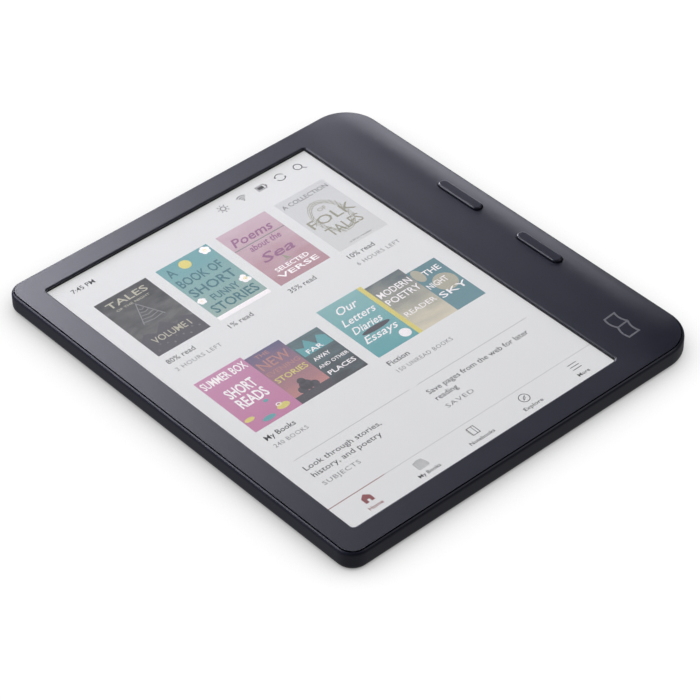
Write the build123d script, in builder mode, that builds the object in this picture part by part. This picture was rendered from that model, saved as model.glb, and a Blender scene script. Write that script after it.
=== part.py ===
"""E-reader with a one-sided grip: housing, display stack, electronics and sprung buttons.

Millimetres. +X points at the grip, +Y at the top of the page, +Z out of the screen.
The origin is under the middle of the outline, on the plane that the back rests on.
"""
from math import hypot
import os

from build123d import *

os.makedirs("parts", exist_ok=True)

# ---------------------------------------------------------------- driving sizes
BODY_W = 144.6          # across the screen and the grip
BODY_H = 161.0
SCREEN_T = 7.0          # thickness beside the screen
CREST = 1.3             # how far the grip swells above the screen bezel
CORNER_R = 5.8          # corners beside the screen
GRIP_CORNER_R = 12.8    # corners of the grip
BACK_ROUND = 2.0        # rounding between the side and the back
RIM_ROUND = 1.2         # rounding between the side and the front

RIM_W = 0.8             # wall of the rear cover that shows around the front plate
RIM_Z = 6.8             # top of that wall, a little below the plate
SEAM_GAP = 0.3
FLOOR_T = 1.1
WALL_T = 2.2
LEDGE_Z = 5.6           # ledge of the rear cover that carries the front plate
SEAL_T = 0.2
SEAL_OUT, SEAL_IN = 1.0, 2.1            # seal and plate land, measured in from the outline
PLATE_LAND = 2.6
CUT_THROUGH = 4.0       # depth of cuts that run right through the front plate

VIEW_W = 107.4          # window in the front plate
VIEW_H = 142.6
VIEW_X = -9.45
VIEW_R = 1.2
VIEW_ROUND = 0.6        # rounding along the window's upper edge
PLATE_UNDER_Z = 6.25    # underside of the front plate around the window

# swelling of the grip
RISE_X = 45.05          # where the grip starts to rise
RISE_W = 18.0           # length of the rise up to the crest
SIDE_ROLL = 9.4         # width of the roll-off towards the grip's long edge
END_ROLL = 3.0          # width of the roll-off towards its two ends
END_START = 45.0        # where the crest starts to sink towards the ends
HOLLOW_X, HOLLOW_W, HOLLOW_L, HOLLOW_H = 60.75, 13.5, 124.0, 1.1

# page buttons
BUTTON_X = 63.35
PAGE_BUTTONS = {"back": 17.0, "forward": -19.0}
SLOT_L = 19.4
SLOT_W = 4.4
CAP_GAP = 0.22
CAP_TOP_Z = 9.05
CAP_ROUND = 0.7
CAP_FLANGE_LIP = 0.5    # how far the flange reaches past the slot
CAP_FLANGE_T = 0.45
CAP_SEAL_OUT, CAP_SEAL_IN = 3.6, 1.6     # how much larger than the slot the seal is

# power button, on the back of the grip
POWER_X, POWER_Y = 58.0, -62.0
POWER_R = 4.6
POWER_GAP = 0.12
POWER_SINK = 0.15
POWER_DISH_RIM = 1.2    # width of the dish around the button
POWER_FLANGE_LIP = 0.9
POWER_FLANGE_T = 0.4
POWER_EDGE = 0.25
FINGER_DISH_R = 20.0
FINGER_DISH_DEPTH = 0.15

# heights of the inner layers
TOUCH_W, TOUCH_H = 113.0, 149.0
GUIDE_W, GUIDE_H = 112.0, 148.0
MASK_W, MASK_H = 110.8, 146.4
MASK_LAP = 0.05         # how far the mask stays back from the window
INK_W, INK_H = 110.4, 145.6
GLASS_W, GLASS_H, GLASS_Y = 113.0, 150.0, -1.0
BEZEL_TAPE_W, BEZEL_TAPE_H, BEZEL_TAPE_MARGIN = 112.4, 148.4, 0.8
UNDER_TAPE_W, UNDER_TAPE_H, UNDER_TAPE_Y, UNDER_TAPE_BAND = 108.0, 128.0, 8.0, 5.0
STRIP_W, STRIP_H, STRIP_Y, STRIP_T = 108.0, 1.8, -75.2, 0.12
LED_W, LED_D, LED_Y, LED_PITCH, LED_COUNT = 2.6, 0.9, -74.55, 9.6, 11
FLEX_T = 0.12

MID_Z, MID_T = 4.3, 0.5
BOARD_Z, BOARD_T = 3.2, 0.8
BACKPLANE_Z, INK_Z, MASK_Z, GUIDE_Z, TOUCH_Z = 4.9, 5.3, 5.65, 5.70, 5.95
TOUCH_TOP_Z = 6.15
BRACKET_Z, BRACKET_T = 4.25, 0.3
BUTTON_BOARD_T = 0.4
SWITCH_H = 0.9

# charging socket, in the long edge of the grip
USB_Y, USB_Z = -44.0, 3.75
USB_OUT_L, USB_OUT_H = 8.94, 3.16
USB_IN_L, USB_IN_H = 8.34, 2.56
USB_HOLE_L, USB_HOLE_H = 9.2, 3.4
USB_BACK_X, USB_FRONT_X = 64.9, 71.9
USB_SEAL_L, USB_SEAL_H, USB_SEAL_T = 10.6, 3.6, 0.7

# battery
CELL_X, CELL_W, CELL_H = -24.0, 52.0, 90.0
CELL_Z, CELL_T = 1.2, 2.9
CELL_ROUND = 0.8
RIB_T, RIB_H, RIB_GAP = 0.8, 2.0, 1.0
RIB_SIDE_L, RIB_END_L = 74.0, 42.0

# fastening
MID_SCREWS = [(-62.0, 66.0), (-62.0, 0.0), (-62.0, -66.0), (3.0, 66.0), (3.0, -66.0), (42.0, 66.0)]
BOARD_SCREWS = [(52.0, 35.0), (51.0, -70.0), (14.0, -22.0)]
BRACKET_SCREWS = [(BUTTON_X, 33.5), (BUTTON_X, -35.5)]
BOSS_R = 1.7
PILOT_R = 0.5
CLEAR_R = 0.8           # clearance holes
SCREW_HEAD_R = 1.25
SCREW_SEAT = 0.3        # depth of the seats in the midframe

HALF_W, HALF_H = BODY_W / 2, BODY_H / 2
PLATE_INSET = RIM_W + SEAM_GAP
PLATE_Z = LEDGE_Z + SEAL_T
BOARD_TOP_Z = BOARD_Z + BOARD_T
MID_TOP_Z = MID_Z + MID_T


# ---------------------------------------------------------------- shared outlines
def body_outline(inset):
    """Outline of the body, moved inwards by inset, in the sketch that is open."""
    x, y = HALF_W - inset, HALF_H - inset
    small, large = max(CORNER_R - inset, 0.5), GRIP_CORNER_R - inset
    corners = [(-x, -y), (x, -y), (x, y), (-x, y)]
    with BuildLine() as edge:
        FilletPolyline(*corners, radius=[small, large, large, small], close=True)
    make_face(edge.edges())


def grip_height(x, y):
    """Height of the front surface above the screen bezel."""
    reach = GRIP_CORNER_R - PLATE_INSET
    side = x - (HALF_W - GRIP_CORNER_R)
    end = abs(y) - (HALF_H - GRIP_CORNER_R)
    if side > 0 and end > 0:
        corner = hypot(side, end)
        inward = reach - corner
        roll = SIDE_ROLL * (side / corner) ** 2 + END_ROLL * (end / corner) ** 2
    else:
        inward = reach - max(side, end)
        roll = SIDE_ROLL if side > end else END_ROLL
    rise = min(max((x - RISE_X) / RISE_W, 0), 1)
    sink = min(max((abs(y) - END_START) / (HALF_H - PLATE_INSET - END_START), 0), 1)
    falling = 1 - min(inward / roll, 1)
    return CREST * rise * rise * (3 - 2 * rise) * (1 - sink ** 3) * (1 - falling * falling)


def steps(first, last, count):
    """Evenly spaced values from first to last."""
    return [first + (last - first) * i / count for i in range(count + 1)]


# ---------------------------------------------------------------- housing
with BuildPart() as rear_cover:
    with BuildSketch():
        body_outline(0)
    extrude(amount=RIM_Z)
    fillet(rear_cover.edges().group_by(Axis.Z)[-1], RIM_ROUND)
    fillet(rear_cover.edges().group_by(Axis.Z)[0], BACK_ROUND)
    with BuildSketch(Plane.XY.offset(FLOOR_T)):
        body_outline(WALL_T)
    extrude(amount=SCREEN_T, mode=Mode.SUBTRACT)
    with BuildSketch(Plane.XY.offset(LEDGE_Z)):
        body_outline(RIM_W)
    extrude(amount=SCREEN_T, mode=Mode.SUBTRACT)
    # posts for the midframe, and shorter ones for the boards
    with BuildSketch(Plane.XY.offset(FLOOR_T)):
        with Locations(*MID_SCREWS):
            Circle(BOSS_R)
    extrude(amount=MID_Z - FLOOR_T)
    with BuildSketch(Plane.XY.offset(FLOOR_T)):
        with Locations(*BOARD_SCREWS, *BRACKET_SCREWS):
            Circle(BOSS_R)
    extrude(amount=BOARD_Z - FLOOR_T)
    with BuildSketch(Plane.XY.offset(FLOOR_T + 0.2)):
        with Locations(*MID_SCREWS, *BOARD_SCREWS, *BRACKET_SCREWS):
            Circle(PILOT_R)
    extrude(amount=MID_Z, mode=Mode.SUBTRACT)
    # hole of the power button, with a shallow dish around it
    with BuildSketch():
        with Locations((POWER_X, POWER_Y)):
            Circle(POWER_R + POWER_GAP)
    extrude(amount=FLOOR_T, mode=Mode.SUBTRACT)
    with BuildSketch():
        with Locations((POWER_X, POWER_Y)):
            Circle(POWER_R + POWER_DISH_RIM)
    extrude(amount=POWER_SINK, taper=45, mode=Mode.SUBTRACT)
    # hole for the charging socket
    with BuildSketch(Plane.YZ.offset(HALF_W - WALL_T - 0.2)):
        with Locations((USB_Y, USB_Z)):
            SlotOverall(USB_HOLE_L, USB_HOLE_H)
    extrude(amount=WALL_T + 1, mode=Mode.SUBTRACT)
    # ribs that hold the battery
    with BuildSketch(Plane.XY.offset(FLOOR_T)):
        with Locations((CELL_X - CELL_W / 2 - RIB_GAP, 0), (CELL_X + CELL_W / 2 + RIB_GAP, 0)):
            Rectangle(RIB_T, RIB_SIDE_L)
        with Locations((CELL_X, CELL_H / 2 + RIB_GAP)):
            Rectangle(RIB_END_L, RIB_T)
    extrude(amount=RIB_H)
rear_cover.part.label = "rear_cover"
export_step(rear_cover.part, "parts/rear_cover.step")

front_columns = steps(-74.0, 42.0, 8) + steps(43.2, 74.4, 26)
front_rows = steps(-82.0, 82.0, 52)
front_surface = Face.make_surface_from_array_of_points(
    [[Vector(x, y, SCREEN_T + grip_height(x, y)) for y in front_rows] for x in front_columns],
    tol=0.002,
    min_deg=3,
    max_deg=3,
)

with BuildPart() as front_bezel:
    extrude(front_surface, amount=3.0, dir=(0, 0, -1))
    with BuildSketch(Plane.XY.offset(PLATE_Z)):
        body_outline(PLATE_INSET)
    extrude(amount=CUT_THROUGH, mode=Mode.INTERSECT)
    with BuildSketch(Plane.XY.offset(PLATE_Z)):
        body_outline(PLATE_LAND)
    extrude(amount=PLATE_UNDER_Z - PLATE_Z, mode=Mode.SUBTRACT)
    # hollow under the crest of the grip
    with BuildSketch(Plane.XY.offset(PLATE_Z)):
        with Locations((HOLLOW_X, 0)):
            RectangleRounded(HOLLOW_W, HOLLOW_L, 2.0)
    extrude(amount=HOLLOW_H, mode=Mode.SUBTRACT)
    # window, with its upper edge rounded
    with BuildSketch(Plane.XY.offset(PLATE_Z)):
        with Locations((VIEW_X, 0)):
            RectangleRounded(VIEW_W, VIEW_H, VIEW_R)
    extrude(amount=CUT_THROUGH, mode=Mode.SUBTRACT)
    window_edges = front_bezel.edges().filter_by_position(Axis.Z, SCREEN_T - 0.02, SCREEN_T + 0.02)
    window_edges = window_edges.filter_by_position(Axis.X, VIEW_X - VIEW_W / 2 - 0.1, VIEW_X + VIEW_W / 2 + 0.1)
    window_edges = window_edges.filter_by_position(Axis.Y, -VIEW_H / 2 - 0.1, VIEW_H / 2 + 0.1)
    fillet(window_edges, VIEW_ROUND)
    with BuildSketch(Plane.XY.offset(PLATE_Z)):
        with Locations(*[(BUTTON_X, y) for y in PAGE_BUTTONS.values()]):
            SlotOverall(SLOT_L, SLOT_W, rotation=90)
    extrude(amount=CUT_THROUGH, mode=Mode.SUBTRACT)
front_bezel.part.label = "front_bezel"
export_step(front_bezel.part, "parts/front_bezel.step")

with BuildPart() as perimeter_seal:
    with BuildSketch(Plane.XY.offset(LEDGE_Z)):
        body_outline(SEAL_OUT)
    extrude(amount=SEAL_T)
    with BuildSketch(Plane.XY.offset(LEDGE_Z)):
        body_outline(SEAL_IN)
    extrude(amount=SEAL_T, mode=Mode.SUBTRACT)
perimeter_seal.part.label = "perimeter_seal"
export_step(perimeter_seal.part, "parts/perimeter_seal.step")

# ---------------------------------------------------------------- display stack
with BuildPart() as bezel_tape:
    with BuildSketch(Plane.XY.offset(TOUCH_TOP_Z)):
        with Locations((VIEW_X, 0)):
            Rectangle(BEZEL_TAPE_W, BEZEL_TAPE_H)
            Rectangle(VIEW_W + 2 * BEZEL_TAPE_MARGIN, VIEW_H + 2 * BEZEL_TAPE_MARGIN, mode=Mode.SUBTRACT)
    extrude(amount=PLATE_UNDER_Z - TOUCH_TOP_Z)
bezel_tape.part.label = "bezel_tape"
export_step(bezel_tape.part, "parts/bezel_tape.step")

with BuildPart() as touch_panel:
    with BuildSketch(Plane.XY.offset(TOUCH_Z)):
        with Locations((VIEW_X, 0)):
            RectangleRounded(TOUCH_W, TOUCH_H, 1.0)
    extrude(amount=TOUCH_TOP_Z - TOUCH_Z)
touch_panel.part.label = "touch_panel"
export_step(touch_panel.part, "parts/touch_panel.step")

with BuildPart() as light_guide:
    with BuildSketch(Plane.XY.offset(GUIDE_Z)):
        with Locations((VIEW_X, 0)):
            RectangleRounded(GUIDE_W, GUIDE_H, 0.8)
    extrude(amount=TOUCH_Z - GUIDE_Z)
light_guide.part.label = "light_guide"
export_step(light_guide.part, "parts/light_guide.step")

with BuildPart() as front_light_strip:
    with BuildSketch(Plane.XY.offset(GUIDE_Z - STRIP_T)):
        with Locations((VIEW_X, STRIP_Y)):
            Rectangle(STRIP_W, STRIP_H)
    extrude(amount=STRIP_T)
front_light_strip.part.label = "front_light_strip"
export_step(front_light_strip.part, "parts/front_light_strip.step")

with BuildPart() as front_light_leds:
    with BuildSketch(Plane.XY.offset(GUIDE_Z)):
        with Locations((VIEW_X, LED_Y)):
            with GridLocations(LED_PITCH, 0, LED_COUNT, 1):
                Rectangle(LED_W, LED_D)
    extrude(amount=TOUCH_Z - GUIDE_Z)
front_light_leds.part.label = "front_light_leds"
export_step(front_light_leds.part, "parts/front_light_leds.step")

with BuildPart() as display_mask:
    with BuildSketch(Plane.XY.offset(MASK_Z)):
        with Locations((VIEW_X, 0)):
            Rectangle(MASK_W, MASK_H)
            Rectangle(VIEW_W + 2 * MASK_LAP, VIEW_H + 2 * MASK_LAP, mode=Mode.SUBTRACT)
    extrude(amount=GUIDE_Z - MASK_Z)
display_mask.part.label = "display_mask"
export_step(display_mask.part, "parts/display_mask.step")

with BuildPart() as ink_film:
    with BuildSketch(Plane.XY.offset(INK_Z)):
        with Locations((VIEW_X, 0)):
            Rectangle(INK_W, INK_H)
    extrude(amount=MASK_Z - INK_Z)
ink_film.part.label = "ink_film"
export_step(ink_film.part, "parts/ink_film.step")

with BuildPart() as display_backplane:
    with BuildSketch(Plane.XY.offset(BACKPLANE_Z)):
        with Locations((VIEW_X, GLASS_Y)):
            Rectangle(GLASS_W, GLASS_H)
    extrude(amount=INK_Z - BACKPLANE_Z)
display_backplane.part.label = "display_backplane"
export_step(display_backplane.part, "parts/display_backplane.step")

with BuildPart() as display_tape:
    with BuildSketch(Plane.XY.offset(MID_TOP_Z)):
        with Locations((VIEW_X, UNDER_TAPE_Y)):
            Rectangle(UNDER_TAPE_W, UNDER_TAPE_H)
            Rectangle(
                UNDER_TAPE_W - 2 * UNDER_TAPE_BAND,
                UNDER_TAPE_H - 2 * UNDER_TAPE_BAND,
                mode=Mode.SUBTRACT,
            )
    extrude(amount=BACKPLANE_Z - MID_TOP_Z)
display_tape.part.label = "display_tape"
export_step(display_tape.part, "parts/display_tape.step")

with BuildPart() as midframe:
    with BuildSketch(Plane.XY.offset(MID_Z)):
        with BuildLine():
            Polyline(
                (-69.2, -76.0), (7.5, -76.0), (7.5, -57.5), (46.5, -57.5), (46.5, 77.0), (-69.2, 77.0),
                close=True)
        make_face()
        with Locations(*MID_SCREWS):
            Circle(CLEAR_R, mode=Mode.SUBTRACT)
        with Locations((14.0, -22.0)):
            Circle(2.0, mode=Mode.SUBTRACT)
        with Locations((-62.0, 33.0), (-62.0, -33.0), (20.0, 40.0), (32.0, 40.0)):
            RectangleRounded(6.0, 24.0, 2.0, mode=Mode.SUBTRACT)
    extrude(amount=MID_T)
    with BuildSketch(Plane.XY.offset(MID_TOP_Z - SCREW_SEAT)):
        with Locations(*MID_SCREWS):
            Circle(SCREW_HEAD_R + 0.1)
    extrude(amount=SCREW_SEAT, mode=Mode.SUBTRACT)
    # stiffening lip along the screen side, which stands down into the rear cover
    with BuildSketch(Plane.XY.offset(MID_Z - 1.0)):
        with Locations((-68.9, 0)):
            Rectangle(0.6, 90.0)
    extrude(amount=1.0)
midframe.part.label = "midframe"
export_step(midframe.part, "parts/midframe.step")


# ---------------------------------------------------------------- cables of the display
def folded_flex(x_centre, width, top_z, start_y, fold_y, end_y):
    """Flat cable that folds from the display down to a connector on the main board."""
    low = BOARD_TOP_Z + 0.35
    outside = [(start_y, top_z + FLEX_T), (fold_y, top_z + FLEX_T), (fold_y, low), (end_y, low)]
    inner_y = fold_y + FLEX_T
    inside = [(end_y, low + FLEX_T), (inner_y, low + FLEX_T), (inner_y, top_z), (start_y, top_z)]
    with BuildPart() as flex:
        with BuildSketch(Plane.YZ.offset(x_centre - width / 2)):
            with BuildLine():
                Polyline(*outside, *inside, close=True)
            make_face()
        extrude(amount=width)
    return flex


display_flex = folded_flex(33.0, 22.0, INK_Z, -73.4, -77.6, -66.5)
display_flex.part.label = "display_flex"
export_step(display_flex.part, "parts/display_flex.step")

touch_flex = folded_flex(14.55, 6.6, TOUCH_Z - FLEX_T, -74.15, -77.8, -66.5)
touch_flex.part.label = "touch_flex"
export_step(touch_flex.part, "parts/touch_flex.step")

# ---------------------------------------------------------------- main board
with BuildPart() as main_board:
    with BuildSketch(Plane.XY.offset(BOARD_Z)):
        with BuildLine():
            FilletPolyline(
                (10.0, -75.0), (69.3, -75.0), (69.3, 39.0), (48.0, 39.0), (48.0, -15.0), (10.0, -15.0),
                radius=[1.0, 9.5, 1.0, 1.0, 1.0, 1.0], close=True)
        make_face()
        with Locations((67.5, USB_Y)):
            Rectangle(6.2, USB_OUT_L + 1.0, mode=Mode.SUBTRACT)
        with Locations(*BOARD_SCREWS, *BRACKET_SCREWS):
            Circle(CLEAR_R, mode=Mode.SUBTRACT)
    extrude(amount=BOARD_T)
main_board.part.label = "main_board"
export_step(main_board.part, "parts/main_board.step")

SHIELD_X, SHIELD_Y, SHIELD_W, SHIELD_L = 31.0, -36.0, 28.0, 34.0
SHIELD_Z = 1.75
SHIELD_WALL = 0.2
HEAT_SHEET_T = 0.1
with BuildPart() as processor_shield:
    with BuildSketch(Plane.XY.offset(SHIELD_Z)):
        with Locations((SHIELD_X, SHIELD_Y)):
            RectangleRounded(SHIELD_W, SHIELD_L, 1.0)
    extrude(amount=BOARD_Z - SHIELD_Z)
    with BuildSketch(Plane.XY.offset(SHIELD_Z + SHIELD_WALL)):
        with Locations((SHIELD_X, SHIELD_Y)):
            RectangleRounded(SHIELD_W - 2 * SHIELD_WALL, SHIELD_L - 2 * SHIELD_WALL, 0.8)
    extrude(amount=BOARD_Z, mode=Mode.SUBTRACT)
processor_shield.part.label = "processor_shield"
export_step(processor_shield.part, "parts/processor_shield.step")

with BuildPart() as heat_sheet:
    with BuildSketch(Plane.XY.offset(SHIELD_Z - HEAT_SHEET_T)):
        with Locations((SHIELD_X, SHIELD_Y)):
            RectangleRounded(SHIELD_W - 3, SHIELD_L - 3, 1.0)
    extrude(amount=HEAT_SHEET_T)
heat_sheet.part.label = "heat_sheet"
export_step(heat_sheet.part, "parts/heat_sheet.step")

# name: centre x, centre y, width, length, height, all hanging under the board
CHIPS = {
    "processor_chip": (25.0, -29.0, 13.0, 13.0, 1.1),
    "memory_chip": (38.2, -29.0, 10.0, 12.0, 0.9),
    "storage_chip": (37.5, -44.5, 11.5, 13.0, 1.0),
    "power_chip": (24.0, -44.5, 8.0, 8.0, 0.9),
    "wifi_module": (57.0, 22.0, 13.0, 15.0, 1.8),
    "battery_connector": (14.0, -47.0, 5.0, 6.0, 1.0),
}
for name, (x, y, width, length, height) in CHIPS.items():
    with BuildPart() as chip:
        with BuildSketch(Plane.XY.offset(BOARD_Z - height)):
            with Locations((x, y)):
                RectangleRounded(width, length, 0.3)
        extrude(amount=height)
        chamfer(chip.faces().sort_by(Axis.Z)[0].edges(), 0.15)
    chip.part.label = name
    export_step(chip.part, f"parts/{name}.step")

# name: centre x, centre y, width, length, height, all standing on the board
SOCKETS = {
    "display_connector": (33.0, -65.0, 24.0, 3.0, 0.75),
    "touch_connector": (14.5, -65.0, 9.0, 3.0, 0.75),
    "hall_sensor": (51.5, 8.0, 2.9, 2.4, 1.0),
}
for name, (x, y, width, length, height) in SOCKETS.items():
    with BuildPart() as socket:
        with BuildSketch(Plane.XY.offset(BOARD_TOP_Z)):
            with Locations((x, y)):
                Rectangle(width, length)
        extrude(amount=height)
        chamfer(socket.faces().sort_by(Axis.Z)[-1].edges(), 0.12)
        if name != "hall_sensor":
            # mouth that the cable slides into
            with BuildSketch(Plane.XY.offset(BOARD_TOP_Z + 0.33)):
                with Locations((x, y - length / 2)):
                    Rectangle(width - 1.2, 3.1)
            extrude(amount=0.16, mode=Mode.SUBTRACT)
    socket.part.label = name
    export_step(socket.part, f"parts/{name}.step")

with BuildPart() as board_passives:
    with BuildSketch(Plane.XY.offset(BOARD_TOP_Z)):
        with Locations((53.0, -24.0)):
            with GridLocations(2.6, 3.4, 3, 7):
                Rectangle(1.6, 0.8)
        with Locations((54.0, -52.0)):
            with GridLocations(4.6, 4.6, 2, 2):
                Rectangle(3.0, 3.0)
    extrude(amount=0.8)
board_passives.part.label = "board_passives"
export_step(board_passives.part, "parts/board_passives.step")

# ---------------------------------------------------------------- charging socket
with BuildPart() as usb_shell:
    with BuildSketch(Plane.YZ.offset(USB_BACK_X)):
        with Locations((USB_Y, USB_Z)):
            SlotOverall(USB_OUT_L, USB_OUT_H)
            SlotOverall(USB_IN_L, USB_IN_H, mode=Mode.SUBTRACT)
    extrude(amount=USB_FRONT_X - USB_BACK_X)
usb_shell.part.label = "usb_shell"
export_step(usb_shell.part, "parts/usb_shell.step")

TONGUE_W, TONGUE_H, TONGUE_L, PLUG_L = 6.7, 0.7, 4.4, 1.8
with BuildPart() as usb_insulator:
    with BuildSketch(Plane.YZ.offset(USB_BACK_X)):
        with Locations((USB_Y, USB_Z)):
            SlotOverall(USB_IN_L - 0.02, USB_IN_H - 0.02)
    extrude(amount=PLUG_L)
    with BuildSketch(Plane.YZ.offset(USB_BACK_X + PLUG_L)):
        with Locations((USB_Y, USB_Z)):
            Rectangle(TONGUE_W, TONGUE_H)
    extrude(amount=TONGUE_L)
usb_insulator.part.label = "usb_insulator"
export_step(usb_insulator.part, "parts/usb_insulator.step")

CONTACT_T, CONTACT_L, CONTACT_W, CONTACT_PITCH = 0.04, 3.6, 0.25, 0.5
with BuildPart() as usb_contacts:
    for z in (USB_Z + TONGUE_H / 2, USB_Z - TONGUE_H / 2 - CONTACT_T):
        with BuildSketch(Plane.XY.offset(z)):
            with Locations((USB_BACK_X + 4.1, USB_Y)):
                with GridLocations(0, CONTACT_PITCH, 1, 12):
                    Rectangle(CONTACT_L, CONTACT_W)
        extrude(amount=CONTACT_T)
usb_contacts.part.label = "usb_contacts"
export_step(usb_contacts.part, "parts/usb_contacts.step")

with BuildPart() as usb_seal:
    with BuildSketch(Plane.YZ.offset(HALF_W - WALL_T - USB_SEAL_T)):
        with Locations((USB_Y, USB_Z)):
            SlotOverall(USB_SEAL_L, USB_SEAL_H)
            SlotOverall(USB_OUT_L + 0.02, USB_OUT_H + 0.02, mode=Mode.SUBTRACT)
    extrude(amount=USB_SEAL_T)
usb_seal.part.label = "usb_seal"
export_step(usb_seal.part, "parts/usb_seal.step")

# ---------------------------------------------------------------- battery
with BuildPart() as battery_cell:
    with BuildSketch(Plane.XY.offset(CELL_Z)):
        with Locations((CELL_X, 0)):
            RectangleRounded(CELL_W, CELL_H, 2.0)
    extrude(amount=CELL_T)
    fillet(battery_cell.edges().group_by(Axis.Z)[-1], CELL_ROUND)
    fillet(battery_cell.edges().group_by(Axis.Z)[0], CELL_ROUND)
battery_cell.part.label = "battery_cell"
export_step(battery_cell.part, "parts/battery_cell.step")

with BuildPart() as battery_tape:
    with BuildSketch(Plane.XY.offset(FLOOR_T)):
        with Locations((CELL_X, 0)):
            with GridLocations(26.0, 0, 2, 1):
                RectangleRounded(12.0, 76.0, 1.0)
    extrude(amount=CELL_Z - FLOOR_T)
battery_tape.part.label = "battery_tape"
export_step(battery_tape.part, "parts/battery_tape.step")

LEAD_Z, LEAD_T = 2.35, 0.2
CELL_BOARD_L, CELL_BOARD_W, CELL_BOARD_T, CELL_BOARD_Y = 34.0, 4.4, 0.9, -47.6
with BuildPart() as battery_board:
    with BuildSketch(Plane.XY.offset(LEAD_Z - CELL_BOARD_T)):
        with Locations((CELL_X, CELL_BOARD_Y)):
            Rectangle(CELL_BOARD_L, CELL_BOARD_W)
    extrude(amount=CELL_BOARD_T)
battery_board.part.label = "battery_board"
export_step(battery_board.part, "parts/battery_board.step")

with BuildPart() as battery_lead:
    with BuildSketch(Plane.XY.offset(LEAD_Z)):
        with BuildLine():
            Polyline((-12.0, -49.5), (11.5, -49.5), (11.5, -45.5), (-12.0, -45.5), close=True)
        make_face()
    extrude(amount=LEAD_T)
battery_lead.part.label = "battery_lead"
export_step(battery_lead.part, "parts/battery_lead.step")

# ---------------------------------------------------------------- page buttons
BUTTON_BOARD_Z = BRACKET_Z + BRACKET_T
SWITCH_Z = BUTTON_BOARD_Z + BUTTON_BOARD_T
SWITCH_W, SWITCH_CORNER, SWITCH_BORE_R = 4.6, 0.4, 1.9
SWITCH_FLOOR, SWITCH_ROOF = 0.1, 0.2
FLANGE_Z = 6.35
NUB_Z = 6.1
PLUNGER_R, PLUNGER_HOLE_R, NUB_R = 0.88, 0.95, 0.7
PLUNGER_LIFT = 0.56      # height of the plunger's lower end above the switch's underside
DOME_H, DOME_T, DOME_W = 0.4, 0.06, 3.4
DOME_R = (DOME_W ** 2 / 4 + DOME_H ** 2) / (2 * DOME_H)
BRACKET_W, BRACKET_Y, BRACKET_L = 8.9, -1.0, 73.5
BRACKET_FOOT_L = 3.4
BUTTON_BOARD_W, BUTTON_BOARD_L = 7.6, 62.0

with BuildPart() as page_button_bracket:
    with BuildSketch(Plane.XY.offset(BRACKET_Z)):
        with Locations((BUTTON_X, BRACKET_Y)):
            RectangleRounded(BRACKET_W, BRACKET_L, 1.0)
    extrude(amount=BRACKET_T)
    # feet that stand on the main board around the two screws
    with BuildSketch(Plane.XY.offset(BOARD_TOP_Z)):
        with Locations(*BRACKET_SCREWS):
            Rectangle(BRACKET_W - 2, BRACKET_FOOT_L)
    extrude(amount=BRACKET_Z - BOARD_TOP_Z)
    with BuildSketch(Plane.XY.offset(BOARD_TOP_Z)):
        with Locations(*BRACKET_SCREWS):
            Circle(CLEAR_R)
    extrude(amount=1.0, mode=Mode.SUBTRACT)
page_button_bracket.part.label = "page_button_bracket"
export_step(page_button_bracket.part, "parts/page_button_bracket.step")

with BuildPart() as page_button_board:
    with BuildSketch(Plane.XY.offset(BUTTON_BOARD_Z)):
        with Locations((BUTTON_X, BRACKET_Y)):
            RectangleRounded(BUTTON_BOARD_W, BUTTON_BOARD_L, 0.6)
    extrude(amount=BUTTON_BOARD_T)
page_button_board.part.label = "page_button_board"
export_step(page_button_board.part, "parts/page_button_board.step")

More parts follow.
